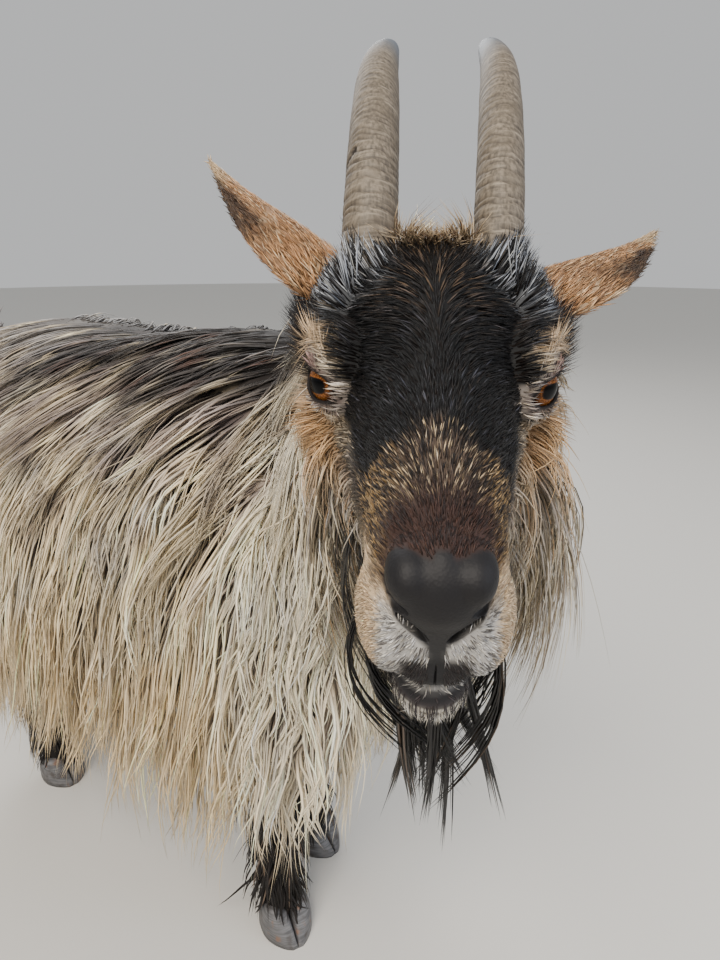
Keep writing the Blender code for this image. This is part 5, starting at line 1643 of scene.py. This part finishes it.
leg_count = 3000
guide_roots, guide_normals = thinned(*roots_on("body", leg_share, 2500, rng), 0.011)
x, y, z = in_stance(guide_roots).T
flat = guide_normals * np.array([1, 1, 0])
lies = np.array([-0.12, 0, -1.0]) + flat * 0.1 + rng.normal(0, 0.12, guide_normals.shape)
pulls = unit(np.array([-0.05, 0, -1.0]) + rng.normal(0, 0.10, lies.shape))
lengths = np.interp(z, (0.015, 0.035, 0.070, 0.120, 0.2), (0.014, 0.028, 0.052, 0.062, 0.064))
lengths = lengths * rng.uniform(0.75, 1.1, len(x))
lifts = rng.uniform(0.002, 0.014, len(x)) * np.interp(z, (0.02, 0.06), (0.4, 1.0))
leg_guides = combed(["body"], guide_roots, guide_normals, lies, pulls, lengths, lifts, LEG_STEPS)
leg_guides[..., 2] = np.maximum(leg_guides[..., 2], 0.004)
tuft_roots, tuft_normals = roots_on("body", leg_share, leg_count, rng)
tuft_paths, _ = tufts_along(
    leg_guides, tuft_roots, tuft_normals, rng, clump=0.6, wave=0.0016, turns=1.2, lift=0.005, stray=0.003
)
tuft_paths[..., 2] = np.maximum(tuft_paths[..., 2], 0.0035)
tips, roots = body_markings(tuft_roots)
tips = laid_over(tips, "6A5A4C", (rng.random(leg_count) < 0.06).astype(float))
colours = shaded(tips, roots, LEG_STEPS, rng, spread=0.25)
widths = rng.uniform(0.0014, 0.0026, leg_count)
p = in_stance(tuft_roots)
spots = np.zeros((leg_count, 2))
for k, (x, y, toe_turn) in enumerate(FEET.values()):
    mine = (np.sign(p[:, 1]) == np.sign(y)) & ((p[:, 0] > -0.2) == (x > -0.2))
    column = round_axis(p[mine], (x, y, 0.0), (x, y, 0.25), up=(1, 0, 0))
    spots[mine] = np.column_stack([column[:, 0], (k + column[:, 1]) / 4])
hair_piece("leg_hair", tuft_paths, tuft_normals, widths, colours, spots, short_hair, "leg coat")


# The tail: short and held up off the rump, with dark brown hair four to six centimetres long that
# hangs from both its sides.


def tail_share(places, normals):
    x, _, z = in_stance(places).T
    return ramp(x, -0.440, -0.452) * ramp(z, 0.45, 0.465)


tail_count = 800
guide_roots, guide_normals = thinned(*roots_on("body", tail_share, 500, rng), 0.010)
x, y, z = in_stance(guide_roots).T
lies = directions(-1.0, y * 30, 0.4) + rng.normal(0, 0.15, (len(x), 3))
pulls = unit(directions(-0.8, y * 20, -0.5))
lengths = rng.uniform(0.040, 0.062, len(x))
lifts = rng.uniform(0.002, 0.010, len(x))
tail_guides = combed(["body"], guide_roots, guide_normals, lies, pulls, lengths, lifts, LEG_STEPS)
tuft_roots, tuft_normals = roots_on("body", tail_share, tail_count, rng)
tuft_paths, _ = tufts_along(tail_guides, tuft_roots, tuft_normals, rng, clump=0.5, wave=0.002, turns=1.0, lift=0.004)
tips, roots = body_markings(tuft_roots)
colours = shaded(tips, roots, LEG_STEPS, rng, spread=0.25)
widths = rng.uniform(0.0018, 0.0032, tail_count)
spots = round_axis(in_stance(tuft_roots), (-0.40, 0, 0.45), (-0.51, 0, 0.52))
hair_piece("tail_hair", tuft_paths, tuft_normals, widths, colours, spots, long_hair, "coat")

# The flesh that the hair was grown on isn't a piece: the skin already holds it.
for obj in flesh.values():
    bpy.data.objects.remove(obj)


# The floor and the studio light: a plain pale floor, and large soft lamps above the goat's head,
# behind the camera and over the far side, with an even glow from all round.

floor_paint, _, _ = finish("studio_floor_matt_paint", Roughness=0.85, Base_Color=(*linear("CFCDC8"), 1))
floor_shape = bmesh.new()
bmesh.ops.create_circle(floor_shape, cap_ends=True, segments=96, radius=9.0)
floor = solid("floor", floor_shape)
floor.data.materials.append(floor_paint)

world = bpy.data.worlds.new("studio")
world.use_nodes = True
world.node_tree.nodes["Background"].inputs["Color"].default_value = (*linear("DEDFE0"), 1)
world.node_tree.nodes["Background"].inputs["Strength"].default_value = 0.80
bpy.context.scene.world = world


def lamp(name, place, target, size, power, colour="FFFFFF"):
    """A square soft lamp of this size at a place in the stance, turned to a target."""
    light = bpy.data.lights.new(name, "AREA")
    light.shape = "SQUARE"
    light.size = size
    light.energy = power
    light.color = linear(colour)
    obj = bpy.data.objects.new(name, light)
    aim = (Vector(target) - Vector(place)).to_track_quat("-Z", "Y").to_matrix().to_4x4()
    obj.matrix_world = stance @ Matrix.Translation(place) @ aim
    bpy.context.scene.collection.objects.link(obj)


lamp("key", (0.5, -1.5, 2.0), (0.05, -0.05, 0.40), 1.2, 74, "FFF6EA")
lamp("fill", (2.0, 0.4, 1.3), (0.1, 0.0, 0.40), 1.6, 22, "EEF3FF")
lamp("rim", (-1.6, 1.2, 1.9), (-0.1, 0.0, 0.40), 1.4, 34)
